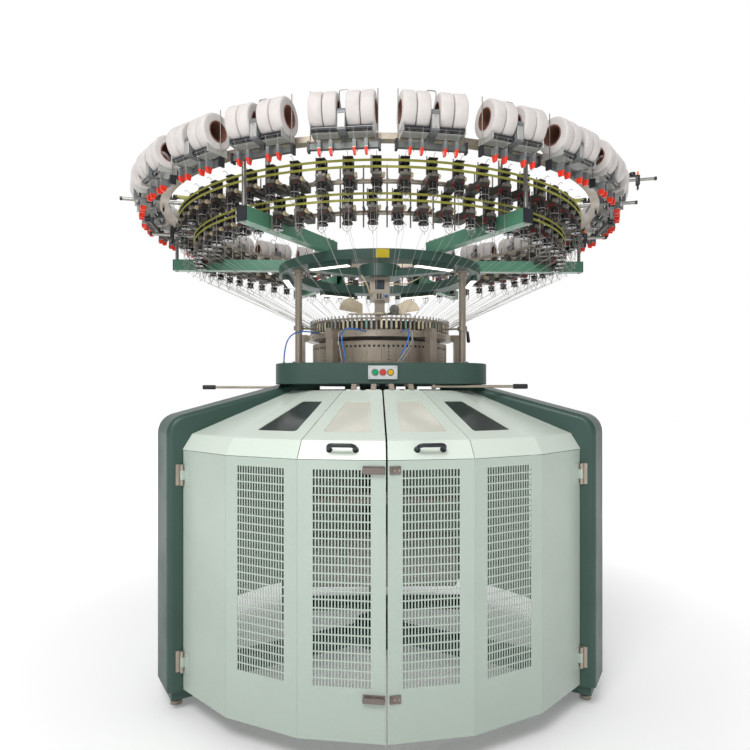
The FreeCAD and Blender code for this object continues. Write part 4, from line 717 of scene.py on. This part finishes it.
def make_belt_wheels():
    """The outriggers' clamps, belt wheels, wing nuts, belt ends and caps, and a third tube at the right."""
    clamps, wings, wheels, ends, straps, tube = (bmesh.new() for _ in range(6))
    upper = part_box("belt_tensioners")[1][2] - 0.010
    # Azimuth, height, the clamp's and the end's distances from the axis, and whether the wing nut is orange
    spots = [(75, upper, 1.352, 1.586, True), (-75, upper, 1.345, 1.586, False),
             (78.5, 2.660, 1.300, 1.428, True), (-78, 2.660, 1.300, 1.428, False),
             (THIRD_TUBE, TUBE_HEIGHT, 1.585, 1.688, True)]
    for azimuth, height, clamp, end, orange in spots:
        place = turn(azimuth)
        nut = (0, -clamp, height + 0.018), (0, -clamp, height + 0.050)
        seed = bmesh.new()
        box(seed, (-0.016, -clamp - 0.011, height - 0.032), (0.016, -clamp + 0.011, height + 0.020), 0.003, 2)
        bar(seed, (0, -clamp, height - 0.032), (0, -clamp, height - 0.050), 0.006, 8)
        box(seed, (-0.014, -clamp - 0.005, height - 0.058), (0.014, -clamp + 0.005, height - 0.048), 0.002, 1)
        box(seed, (-0.010, -clamp - 0.012, height + 0.018), (0.010, -clamp + 0.075, height + 0.028), 0.002, 1)
        if not orange:
            lid = (-0.013, -clamp - 0.009, height + 0.020), (0.013, -clamp + 0.009, height + 0.050)
            box(seed, *lid, 0.003, 2)
        merge(clamps, seed, place)
        if orange:
            placed(wings, place, bar, *nut, 0.0085, 10, 0.004)
        seed = bmesh.new()
        for radius in (clamp - 0.070, clamp - 0.030):
            profile = [(0.0, 0.0), (0.0, 0.016), (0.003, 0.018), (0.015, 0.018), (0.018, 0.016), (0.018, 0.0)]
            lathe(seed, profile, (0, -radius, height + 0.0275), (0, 0, 1), 14)
        merge(wheels, seed, place)
        placed(ends, place, bar, (0, -end + 0.013, height), (0, -end - 0.001, height), 0.0112, 14)
        seed = bmesh.new()
        box(seed, (-0.0195, -clamp + 0.075, height + 0.030), (-0.0170, -clamp + 0.230, height + 0.042))
        box(seed, (0.0170, -clamp + 0.075, height + 0.030), (0.0195, -clamp + 0.230, height + 0.042))
        merge(straps, seed, place)
    bar(tube, (0, -1.400, TUBE_HEIGHT), (0, -1.688, TUBE_HEIGHT), 0.0090, 14)
    bar(tube, (0, -1.400, TUBE_HEIGHT), (0, -1.385, 2.960), 0.0090, 14)
    box(tube, (-0.010, -1.412, 2.860), (0.010, -1.392, TUBE_HEIGHT), 0.002, 1)
    box(tube, (-0.010, -1.412, 2.827), (0.010, -1.350, 2.862), 0.002, 1)
    finished("outrigger_clamps", clamps, "black")
    finished("outrigger_wings", wings, "clamp_orange")
    finished("outrigger_wheels", wheels, "gloss_black")
    finished("outrigger_ends", ends, "black")
    finished("belt_ends", straps, "belt_yellow")
    finished("third_outrigger", repeated(tube, [turn(THIRD_TUBE)]), "silver")


# ---- ring, arms and lamps ------------------------------------------------------------------------


def make_lamp_covers():
    """Frosted covers on the lamp bars' undersides, open to the head."""
    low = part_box("light_bars")[0][2]
    seed = bmesh.new()
    box(seed, (-0.128, -0.617, low - 0.005), (0.128, -0.583, low + 0.002), 0.003, 2)
    finished("lamp_covers", repeated(seed, [turn(azimuth) for azimuth in ARM_AZIMUTHS]), "lamp_white")


def make_ring_fasteners():
    """Screws on the ring, under the arms and round the flanges of the columns."""
    bolts = bmesh.new()
    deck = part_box("bed_plate")[1][2]
    arm_low, arm_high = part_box("ring_arms")[0][2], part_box("ring_arms")[1][2]
    for azimuth in ARM_AZIMUTHS:
        for across in (-0.018, 0.018):
            for radius in (0.590, 0.632):
                placed(bolts, turn(azimuth), screw, (across, -radius, arm_high), (0, 0, 1), 0.008, 0.008)
        for radius in (0.95, 1.153, 1.326):
            placed(bolts, turn(azimuth), screw, (0, -radius, arm_low), (0, 0, -1), 0.007, 0.006)
    for azimuth in LEG_AZIMUTHS:
        for step in range(4):
            angle = math.radians(45 + 90 * step)
            spot = (0.030 * math.cos(angle), -COLUMN_RADIUS + 0.030 * math.sin(angle), deck + 0.020)
            placed(bolts, turn(azimuth), screw, spot, (0, 0, 1), 0.005, 0.005)
    finished("frame_bolts", bolts, "warm_steel")


def make_ring_plate():
    """A blank yellow plate with four rivets on the front of the ring."""
    plate, rivets = bmesh.new(), bmesh.new()
    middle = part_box("support_ring")[0][2] + 0.0275
    radius = 0.656
    dome = [(0.0, 0.0025), (0.001, 0.002), (0.0015, 0.0)]
    box(
        plate, (-0.038, -radius - 0.004, middle - 0.0245), (0.038, -radius + 0.004, middle + 0.0245), 0.001, 1
    )
    for x in (-0.032, 0.032):
        for z in (-0.019, 0.019):
            placed(rivets, None, lathe, dome, (x, -radius - 0.004, middle + z), (0, -1, 0), 8)
    finished("ring_plate", plate, "sign_yellow")
    finished("ring_plate_rivets", rivets, "silver")


# ---- knitting head -------------------------------------------------------------------------------


def make_needles():
    """The bed of sinkers above the cylinder, in black as painted shade of the gap there, and the needle tips
    in it, in one dense ring.
    """
    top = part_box("needle_cylinder")[1][2]
    bed = bmesh.new()
    profile = [(top - 0.001, 0.3690), (top + 0.0145, 0.3690), (top + 0.0145, 0.3765), (top - 0.001, 0.3800)]
    lathe(bed, profile, segments=96)
    finished("sinker_bed_painted_shade", bed, "black", "rotor")
    seed = bmesh.new()
    box(seed, (-0.0006, -0.3805, top - 0.001), (0.0006, -0.3770, top + 0.010))
    finished("needles", repeated(seed, turns(NEEDLE_COUNT)), "bracket_grey", "rotor")


def make_head_trim():
    """Cam screws and a black disc inside each cam hole as painted shade, coloured carrier faces on a dark
    backing, and the guides on the guide ring.
    """
    screws, hole_shades, guides, backing, dots = (bmesh.new() for _ in range(5))
    cam_face = 0.438
    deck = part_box("bed_plate")[1][2]
    # A black disc inside each cam hole is painted shade for the hole's dark inside
    for shift in (-3.75, 0.0, 3.75):
        near, far = (0, -cam_face + 0.0035, deck + 0.109), (0, -cam_face + 0.0075, deck + 0.109)
        placed(hole_shades, turn(shift), bar, near, far, 0.0079, 12)
    for shift in (-2.8125, 2.8125):
        placed(screws, turn(shift), screw, (0, -cam_face - 0.0095, deck + 0.008), (0, -1, 0), 0.0035, 0.003)
    cams = turns(CAM_COUNT, 180.0 / CAM_COUNT)
    finish_all(
        cams,
        ("cam_hole_shades", hole_shades, "black"),
        ("cam_screws", screws, "bracket_grey"),
    )
    column = bmesh.new()
    for step in range(4):
        screw(column, (0, -cam_face + 0.001, deck + 0.030 + 0.022 * step), (0, -1, 0), 0.0040, 0.003)
    marked = [turn(azimuth) for azimuth in (5.625, -50.625, 61.875, 140.625, -151.875)]
    finished("cam_slide_screws", repeated(column, marked), "black")
    low = CARRIER_LOW
    lathe(backing, [(low, 0.4265), (low + 0.056, 0.4265), (low + 0.056, 0.4285), (low, 0.4285)], segments=96)
    finished("carrier_backing", backing, "feeder_dark")
    face = bmesh.new()
    box(face, (-0.0062, -0.4528, low + 0.009), (0.0062, -0.4488, low + 0.0605), 0.0012, 1)
    mesh = bpy.data.meshes.new("carrier_face")
    face.to_mesh(mesh)
    face.free()
    finishes = {"carrier_tip": [], "carrier_green": [], "rail_grey": []}
    # None leaves a carrier without a coloured face
    order = (
        "carrier_tip", "carrier_tip", "rail_grey", "carrier_tip", None, "carrier_green", "rail_grey", None
    )
    for index, place in enumerate(turns(CARRIER_COUNT)):
        word = order[index % len(order)]
        if word:
            finishes[word].append(place)
    for word, places in finishes.items():
        seed = bmesh.new()
        seed.from_mesh(mesh)
        finished(f"carriers_{word}", repeated(seed, places), word)
    bpy.data.meshes.remove(mesh)
    dot = [(0.0, 0.0042), (0.003, 0.0042), (0.004, 0.0)]
    placed(dots, turn(180.0 / CARRIER_COUNT), lathe, dot, (0, -0.4495, low + 0.0035), (0, -1, 0), 8)
    finished("carrier_dots", repeated(dots, turns(CARRIER_COUNT)), "black")
    guide_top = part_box("yarn_carriers")[1][2]
    wire(guides, [(-0.004, -0.450, guide_top - 0.001), (-0.004, -0.452, guide_top + 0.010),
                  (0, -0.454, guide_top + 0.015), (0.004, -0.452, guide_top + 0.010),
                  (0.004, -0.450, guide_top - 0.001)], 0.0020, 5)
    box(guides, (-0.0035, -0.4545, guide_top - 0.016), (0.0035, -0.4485, guide_top + 0.002), 0.001, 1)
    finished("guide_eyes", repeated(guides, turns(CARRIER_COUNT)), "latch_grey")
    bolts = bmesh.new()
    for place in turns(24, 11.25):
        placed(bolts, place, screw, (0, -0.470, 2.044), (0, -1, 0), 0.0042, 0.003)
    finished("cap_bolts", bolts, "bracket_grey")
    make_column_brackets()


def make_column_brackets():
    """Flat stays from the guide ring to the columns, collars on these, and the stop handle at the right."""
    stays, handle = bmesh.new(), bmesh.new()
    for azimuth in LEG_AZIMUTHS:
        seed = bmesh.new()
        box(seed, (-0.012, -0.560, 2.0860), (0.012, -0.452, 2.0960), 0.0015, 1)
        lathe(seed, [(2.078, 0.0212), (2.078, 0.0300), (2.104, 0.0300), (2.104, 0.0212)],
              (0, -COLUMN_RADIUS, 0), (0, 0, 1), 20)
        merge(stays, seed, turn(azimuth))
    placed(stays, turn(60), bar, (0.026, -COLUMN_RADIUS, 2.090), (0.060, -0.590, 2.074), 0.0045, 8)
    seed = bmesh.new()
    bar(seed, (0.058, -0.590, 2.078), (0.078, -0.590, 2.020), 0.0085, 12, 0.0115)
    bmesh.ops.create_icosphere(
        seed, subdivisions=2, radius=0.0115, matrix=Matrix.Translation((0.078, -0.590, 2.020))
    )
    merge(handle, seed, turn(60))
    collar = [(2.400, 0.0212), (2.400, 0.0290), (2.426, 0.0290), (2.426, 0.0212)]
    for azimuth in LEG_AZIMUTHS:
        placed(stays, turn(azimuth), lathe, collar, (0, -COLUMN_RADIUS, 0), (0, 0, 1), 20)
    finished("column_stays", stays, "warm_steel")
    finished("stop_handle", handle, "grip_black")


def make_centre_trim():
    """The fan's motor plate, connectors and cables on the centre post, and the dial beside the fan."""
    dark, pale, blue, white, dial = (bmesh.new() for _ in range(5))
    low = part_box("centre_column")[0][2]
    half = 0.064
    box(dark, (-0.030, -half - 0.004, low + 0.145), (0.030, -half + 0.002, low + 0.205), 0.002, 1)
    for x in (-0.018, 0.0, 0.018):
        box(dark, (x - 0.0055, -half - 0.010, low + 0.150), (x + 0.0055, -half, low + 0.196), 0.002, 1)
    for x in (-0.014, 0.004):
        box(dark, (x - 0.005, -half - 0.008, low + 0.084), (x + 0.005, -half, low + 0.118), 0.002, 1)
    box(pale, (0.012, -half - 0.014, low + 0.082), (0.020, -half, low + 0.124), 0.002, 1)
    box(pale, (-0.045, -half - 0.003, low + 0.126), (0.045, -half + 0.001, low + 0.130), 0.001, 1)
    bar(blue, (0.030, -half - 0.010, low + 0.100), (0.052, -half - 0.010, low + 0.104), 0.0065, 10)
    wire(white, bend_line([(-0.120, -0.130, 2.450), (-0.085, -0.120, 2.400), (-0.070, -0.100, 2.350),
                           (-0.060, -0.080, 2.330), (-0.048, -0.062, 2.350)]), 0.0045, 8)
    wire(white, bend_line([(0.050, -0.075, 2.404), (0.110, -0.100, 2.395), (0.200, -0.120, 2.400),
                           (0.260, -0.140, 2.440)]), 0.003, 6)
    finished("motor_plate", dark, "motor_paint")
    finished("connectors", pale, "rail_grey")
    finished("blue_plug", blue, "hose_blue")
    finished("fan_cables", white, "knob_beige")
    profile = [(0.0, 0.0), (0.0, 0.032), (0.004, 0.034), (0.012, 0.034), (0.016, 0.030), (0.016, 0.016),
               (0.022, 0.012), (0.022, 0.0)]
    lathe(dial, profile, (0.092, -0.052, 2.238), (0.35, -0.94, 0), 24)
    bar(dial, (0.055, -0.020, 2.216), (0.090, -0.052, 2.226), 0.006, 8)
    finished("fan_dial", dial, "silver", "fan")


def bend_line(points, steps=20):
    """Points along the smooth line that a few route points make, each span a parabola between midpoints."""
    points = [Vector(point) for point in points]
    middles = [points[0]] + [(a + b) / 2 for a, b in zip(points[1:], points[2:])][:-1] + [points[-1]]
    line = [points[0]]
    for start, bend, end in zip(middles, points[1:-1], middles[1:]):
        for index in range(1, steps + 1):
            along = index / steps
            line.append(start * (1 - along) ** 2 + bend * 2 * along * (1 - along) + end * along ** 2)
    return line


HOSE_ROUTES = (
    ((-0.093, -0.464, 2.056), (-0.165, -0.505, 2.070), (-0.226, -0.550, 2.060),
     (-0.230, -0.568, 1.985), (-0.206, -0.565, 1.905), (-0.206, -0.565, 1.865)),
    ((0.112, -0.459, 2.056), (0.152, -0.538, 2.072), (0.152, -0.572, 1.990),
     (0.108, -0.566, 1.915), (0.108, -0.566, 1.865)),
    ((-0.373, -0.291, 2.056), (-0.452, -0.368, 2.072), (-0.540, -0.420, 2.040),
     (-0.572, -0.430, 1.945), (-0.572, -0.430, 1.865)),
)
HOSE_RADIUS = 0.004


def make_hoses():
    """Air hoses from the cap ring to the bed plate, on smooth lines, with a fitting at each end."""
    fittings = bmesh.new()
    for index, points in enumerate(HOSE_ROUTES):
        curve = bpy.data.curves.new(f"air_hose_{index + 1}", "CURVE")
        curve.dimensions = "3D"
        curve.bevel_depth = HOSE_RADIUS
        curve.bevel_resolution = 4
        curve.resolution_u = 24
        curve.use_fill_caps = True
        spline = curve.splines.new("NURBS")
        spline.points.add(len(points) - 1)
        for target, point in zip(spline.points, points):
            target.co = (*point, 1)
        spline.order_u = 3
        spline.use_endpoint_u = True
        curve.materials.append(FINISHES["hose_blue"])
        hose = new_object(f"air_hose_{index + 1}", curve)
        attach(hose, "machine")
        foot = Vector(points[-1])
        bar(fittings, foot - Vector((0, 0, 0.001)), foot + Vector((0, 0, 0.012)), 0.008, 6)
        head = Vector(points[0])
        inwards = head - Vector((head.x, head.y, 0)).normalized() * 0.004
        bar(fittings, inwards, head + (Vector(points[1]) - head) * 0.08, 0.006, 8)
    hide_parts("hoses")
    finished("hose_fittings", fittings, "warm_steel")


# ---- guard trim ----------------------------------------------------------------------------------


GUARD_RADIUS = 1.310
LATCH_HEIGHTS = (1.350, 0.330)


def facet_place(azimuth, height=0.0):
    """A place on a wall facet's outside: X along it, Z up, -Y outwards."""
    apothem = GUARD_RADIUS * math.cos(math.radians(FACET / 2))
    return turn(azimuth) @ Matrix.Translation((0, -apothem, height))


def make_strikes():
    """Two strike plates with screws on the right door, beside the latches."""
    plates, screws = bmesh.new(), bmesh.new()
    left = -GUARD_RADIUS * math.sin(math.radians(FACET / 2)) + 0.012
    for height in LATCH_HEIGHTS:
        plate, heads = bmesh.new(), bmesh.new()
        box(plate, (left, -0.006, -0.019), (left + 0.052, 0.0, 0.019), 0.002, 2)
        box(plate, (left + 0.004, -0.018, -0.012), (left + 0.012, -0.004, 0.012), 0.002, 2)
        for x in (left + 0.022, left + 0.043):
            screw(heads, (x, -0.006, 0), (0, -1, 0), 0.005, 0.003)
        merge(plates, plate, facet_place(FACET / 2, height))
        merge(screws, heads, facet_place(FACET / 2, height))
    finished("strike_plates", plates, "latch_grey", "door_right")
    finished("strike_screws", screws, "warm_steel", "door_right")


def make_latch_plates():
    """The base plates that the latches turn on."""
    plates = bmesh.new()
    right = GUARD_RADIUS * math.sin(math.radians(FACET / 2)) - 0.008
    for height in LATCH_HEIGHTS:
        plate = bmesh.new()
        box(plate, (right - 0.100, -0.005, -0.019), (right, 0.001, 0.019), 0.002, 2)
        for x in (right - 0.092, right - 0.008):
            screw(plate, (x, -0.005, 0), (0, -1, 0), 0.005, 0.003)
        merge(plates, plate, facet_place(-FACET / 2, height))
    finished("latch_plates", plates, "latch_grey", "door_left")


def make_panel_trim():
    """Bezels round the three buttons and screws in the plate's corners."""
    bezels, screws = bmesh.new(), bmesh.new()
    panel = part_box("control_panel")
    front = panel[0][1]
    profile = [
        (-0.001, 0.0146), (0.003, 0.0146), (0.004, 0.0160), (0.004, 0.0185), (0.002, 0.0198), (-0.001, 0.0198)
    ]
    for node in ("button_green", "button_red", "button_yellow"):
        low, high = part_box(node)
        x, z = (low[0] + high[0]) / 2, (low[2] + high[2]) / 2
        placed(bezels, None, lathe, profile, (x, front, z), (0, -1, 0), 28)
    for x in (panel[0][0] + 0.009, panel[1][0] - 0.009):
        for z in (panel[0][2] + 0.009, panel[1][2] - 0.009):
            screw(screws, (x, front, z), (0, -1, 0), 0.0035, 0.002)
    finished("button_bezels", bezels, "silver")
    finished("panel_screws", screws, "warm_steel")


def make_bed_bolts():
    """Cap screws on the deck, pale cables beside the air hoses, and the dark shroud below the bed plate."""
    bolts, cables = bmesh.new(), bmesh.new()
    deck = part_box("bed_plate")[1][2]
    for place in turns(24, 7.5):
        placed(bolts, place, screw, (0, -0.558, deck), (0, 0, 1), 0.006, 0.006)
    wire(cables, bend_line([(-0.110, -0.462, 2.058), (-0.236, -0.540, 2.072), (-0.252, -0.560, 2.000),
                            (-0.236, -0.575, 1.930), (-0.226, -0.574, 1.866)], 10), 0.0025, 6)
    wire(cables, bend_line([(0.125, -0.458, 2.060), (0.172, -0.540, 2.078), (0.176, -0.572, 1.990),
                            (0.120, -0.585, 1.920), (0.088, -0.578, 1.866)], 10), 0.0025, 6)
    wire(cables, bend_line([(0.118, -0.459, 2.052), (0.176, -0.520, 2.030), (0.182, -0.560, 1.960),
                            (0.100, -0.588, 1.866)], 10), 0.002, 6)
    shroud = bmesh.new()
    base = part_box("bed_plate")[0][2]
    lathe(shroud, [
        (base - 0.034, 0.548), (base - 0.034, 0.554), (base - 0.0005, 0.554), (base - 0.0005, 0.548)
    ], segments=64)
    finished("gear_shroud", shroud, "black")
    finished("bed_bolts", bolts, "warm_steel")
    finished("sensor_cables", cables, "rail_grey")


# ---- cloth roll ----------------------------------------------------------------------------------


def make_cloth_roll():
    """The rolled fabric: soft shoulders and shallow waves."""
    low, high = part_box("cloth_roll")
    half = (high[0] - low[0]) / 2
    radius = (high[2] - low[2]) / 2
    centre = (0, 0, (high[2] + low[2]) / 2)
    steps = 26
    profile = [
        (-half + 0.004, 0.018), (-half, 0.060), (-half + 0.003, radius * 0.7), (-half + 0.002, radius - 0.012)
    ]
    for index in range(steps + 1):
        along = -half + 0.012 + (2 * half - 0.024) * index / steps
        profile.append((along, radius - 0.001 - 0.0012 * (1 + math.sin(index * 2.4))))
    profile += [
        (half - 0.002, radius - 0.012), (half - 0.003, radius * 0.7), (half, 0.060), (half - 0.004, 0.018)
    ]
    roll = bmesh.new()
    lathe(roll, profile, centre, (1, 0, 0), 64)
    piece = finished("rolled_fabric", roll, "cloth", "winder", smooth=60)
    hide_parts("cloth_roll")


# ---- room, camera and lights ---------------------------------------------------------------------


def make_stage():
    """A pale floor that grows brighter away from the machine, to meet the backdrop."""
    mesh = bpy.data.meshes.new("floor")
    floor = bmesh.new()
    bmesh.ops.create_grid(floor, x_segments=1, y_segments=1, size=30)
    floor.to_mesh(mesh)
    floor.free()
    material = bpy.data.materials.new("floor")
    material.use_nodes = True
    shader = material.node_tree.nodes["Principled BSDF"]
    shader.inputs["Base Color"].default_value = (0.93, 0.93, 0.93, 1)
    shader.inputs["Roughness"].default_value = 0.7
    shader.inputs["Emission Color"].default_value = (1, 1, 1, 1)
    tree = material.node_tree
    reach = tree.nodes.new("ShaderNodeVectorMath")
    reach.operation = "LENGTH"
    tree.links.new(tree.nodes.new("ShaderNodeTexCoord").outputs["Object"], reach.inputs[0])
    glow = remap(tree, reach.outputs["Value"], 1.5, 5.5, 0.16, 0.70)
    tree.links.new(glow, shader.inputs["Emission Strength"])
    mesh.materials.append(material)
    new_object("floor", mesh)


def make_camera():
    camera = bpy.data.cameras.new("camera")
    camera.sensor_width = 36
    camera.lens = 29.09
    camera.shift_x = -0.0061
    camera.shift_y = 0.0253
    holder = new_object("camera", camera)
    holder.location = (-0.0985, -3.9988, 1.69)
    holder.rotation_euler = (math.radians(90), 0, math.radians(-1.41))
    bpy.context.scene.camera = holder


def area_light(name, place, target, size, power, colour=(1, 1, 1)):
    light = bpy.data.lights.new(name, "AREA")
    light.shape = "RECTANGLE"
    light.size, light.size_y = size
    light.energy = power
    light.color = colour
    holder = new_object(name, light)
    holder.location = place
    holder.rotation_euler = (Vector(target) - Vector(place)).to_track_quat("-Z", "Y").to_euler()


def make_lights():
    """A pale backdrop behind the machine, a softer front, and one broad lamp high at the front left."""
    world = bpy.data.worlds.new("studio")
    world.use_nodes = True
    tree = world.node_tree
    split = tree.nodes.new("ShaderNodeSeparateXYZ")
    tree.links.new(tree.nodes.new("ShaderNodeTexCoord").outputs["Generated"], split.inputs[0])
    back = remap(tree, split.outputs["Y"], 0.50, 0.72, 0.28, 1.0)
    top = remap(tree, split.outputs["Z"], 0.55, 0.90, 0.0, 0.85)
    level = math_node(tree, "MAXIMUM", back, top)
    colour = mix_colour(tree, level, (0, 0, 0, 1), (1, 1, 1, 1))
    tree.links.new(colour, tree.nodes["Background"].inputs["Color"])
    tree.nodes["Background"].inputs["Strength"].default_value = 1.0
    bpy.context.scene.world = world
    area_light("key", (-1.2, -5.0, 5.4), (0.0, -0.2, 1.4), (2.6, 2.0), 205)
    area_light("fill", (-1.6, -6.0, 2.2), (0, 0, 1.2), (2.2, 1.6), 15)
    bpy.context.scene.view_settings.view_transform = "Standard"


dress_nodes()
make_packages()
make_tube_rims()
make_sensor_tips()
make_yarn_bails()
make_unit_trim()
make_elastane_threads()
make_feeder_trim()
make_wheel_rims()
make_ring_rods()
make_belt_wheels()
make_lamp_covers()
make_ring_fasteners()
make_ring_plate()
make_needles()
make_head_trim()
make_centre_trim()
make_hoses()
make_strikes()
make_latch_plates()
make_panel_trim()
make_bed_bolts()
make_cloth_roll()
make_stage()
make_camera()
make_lights()
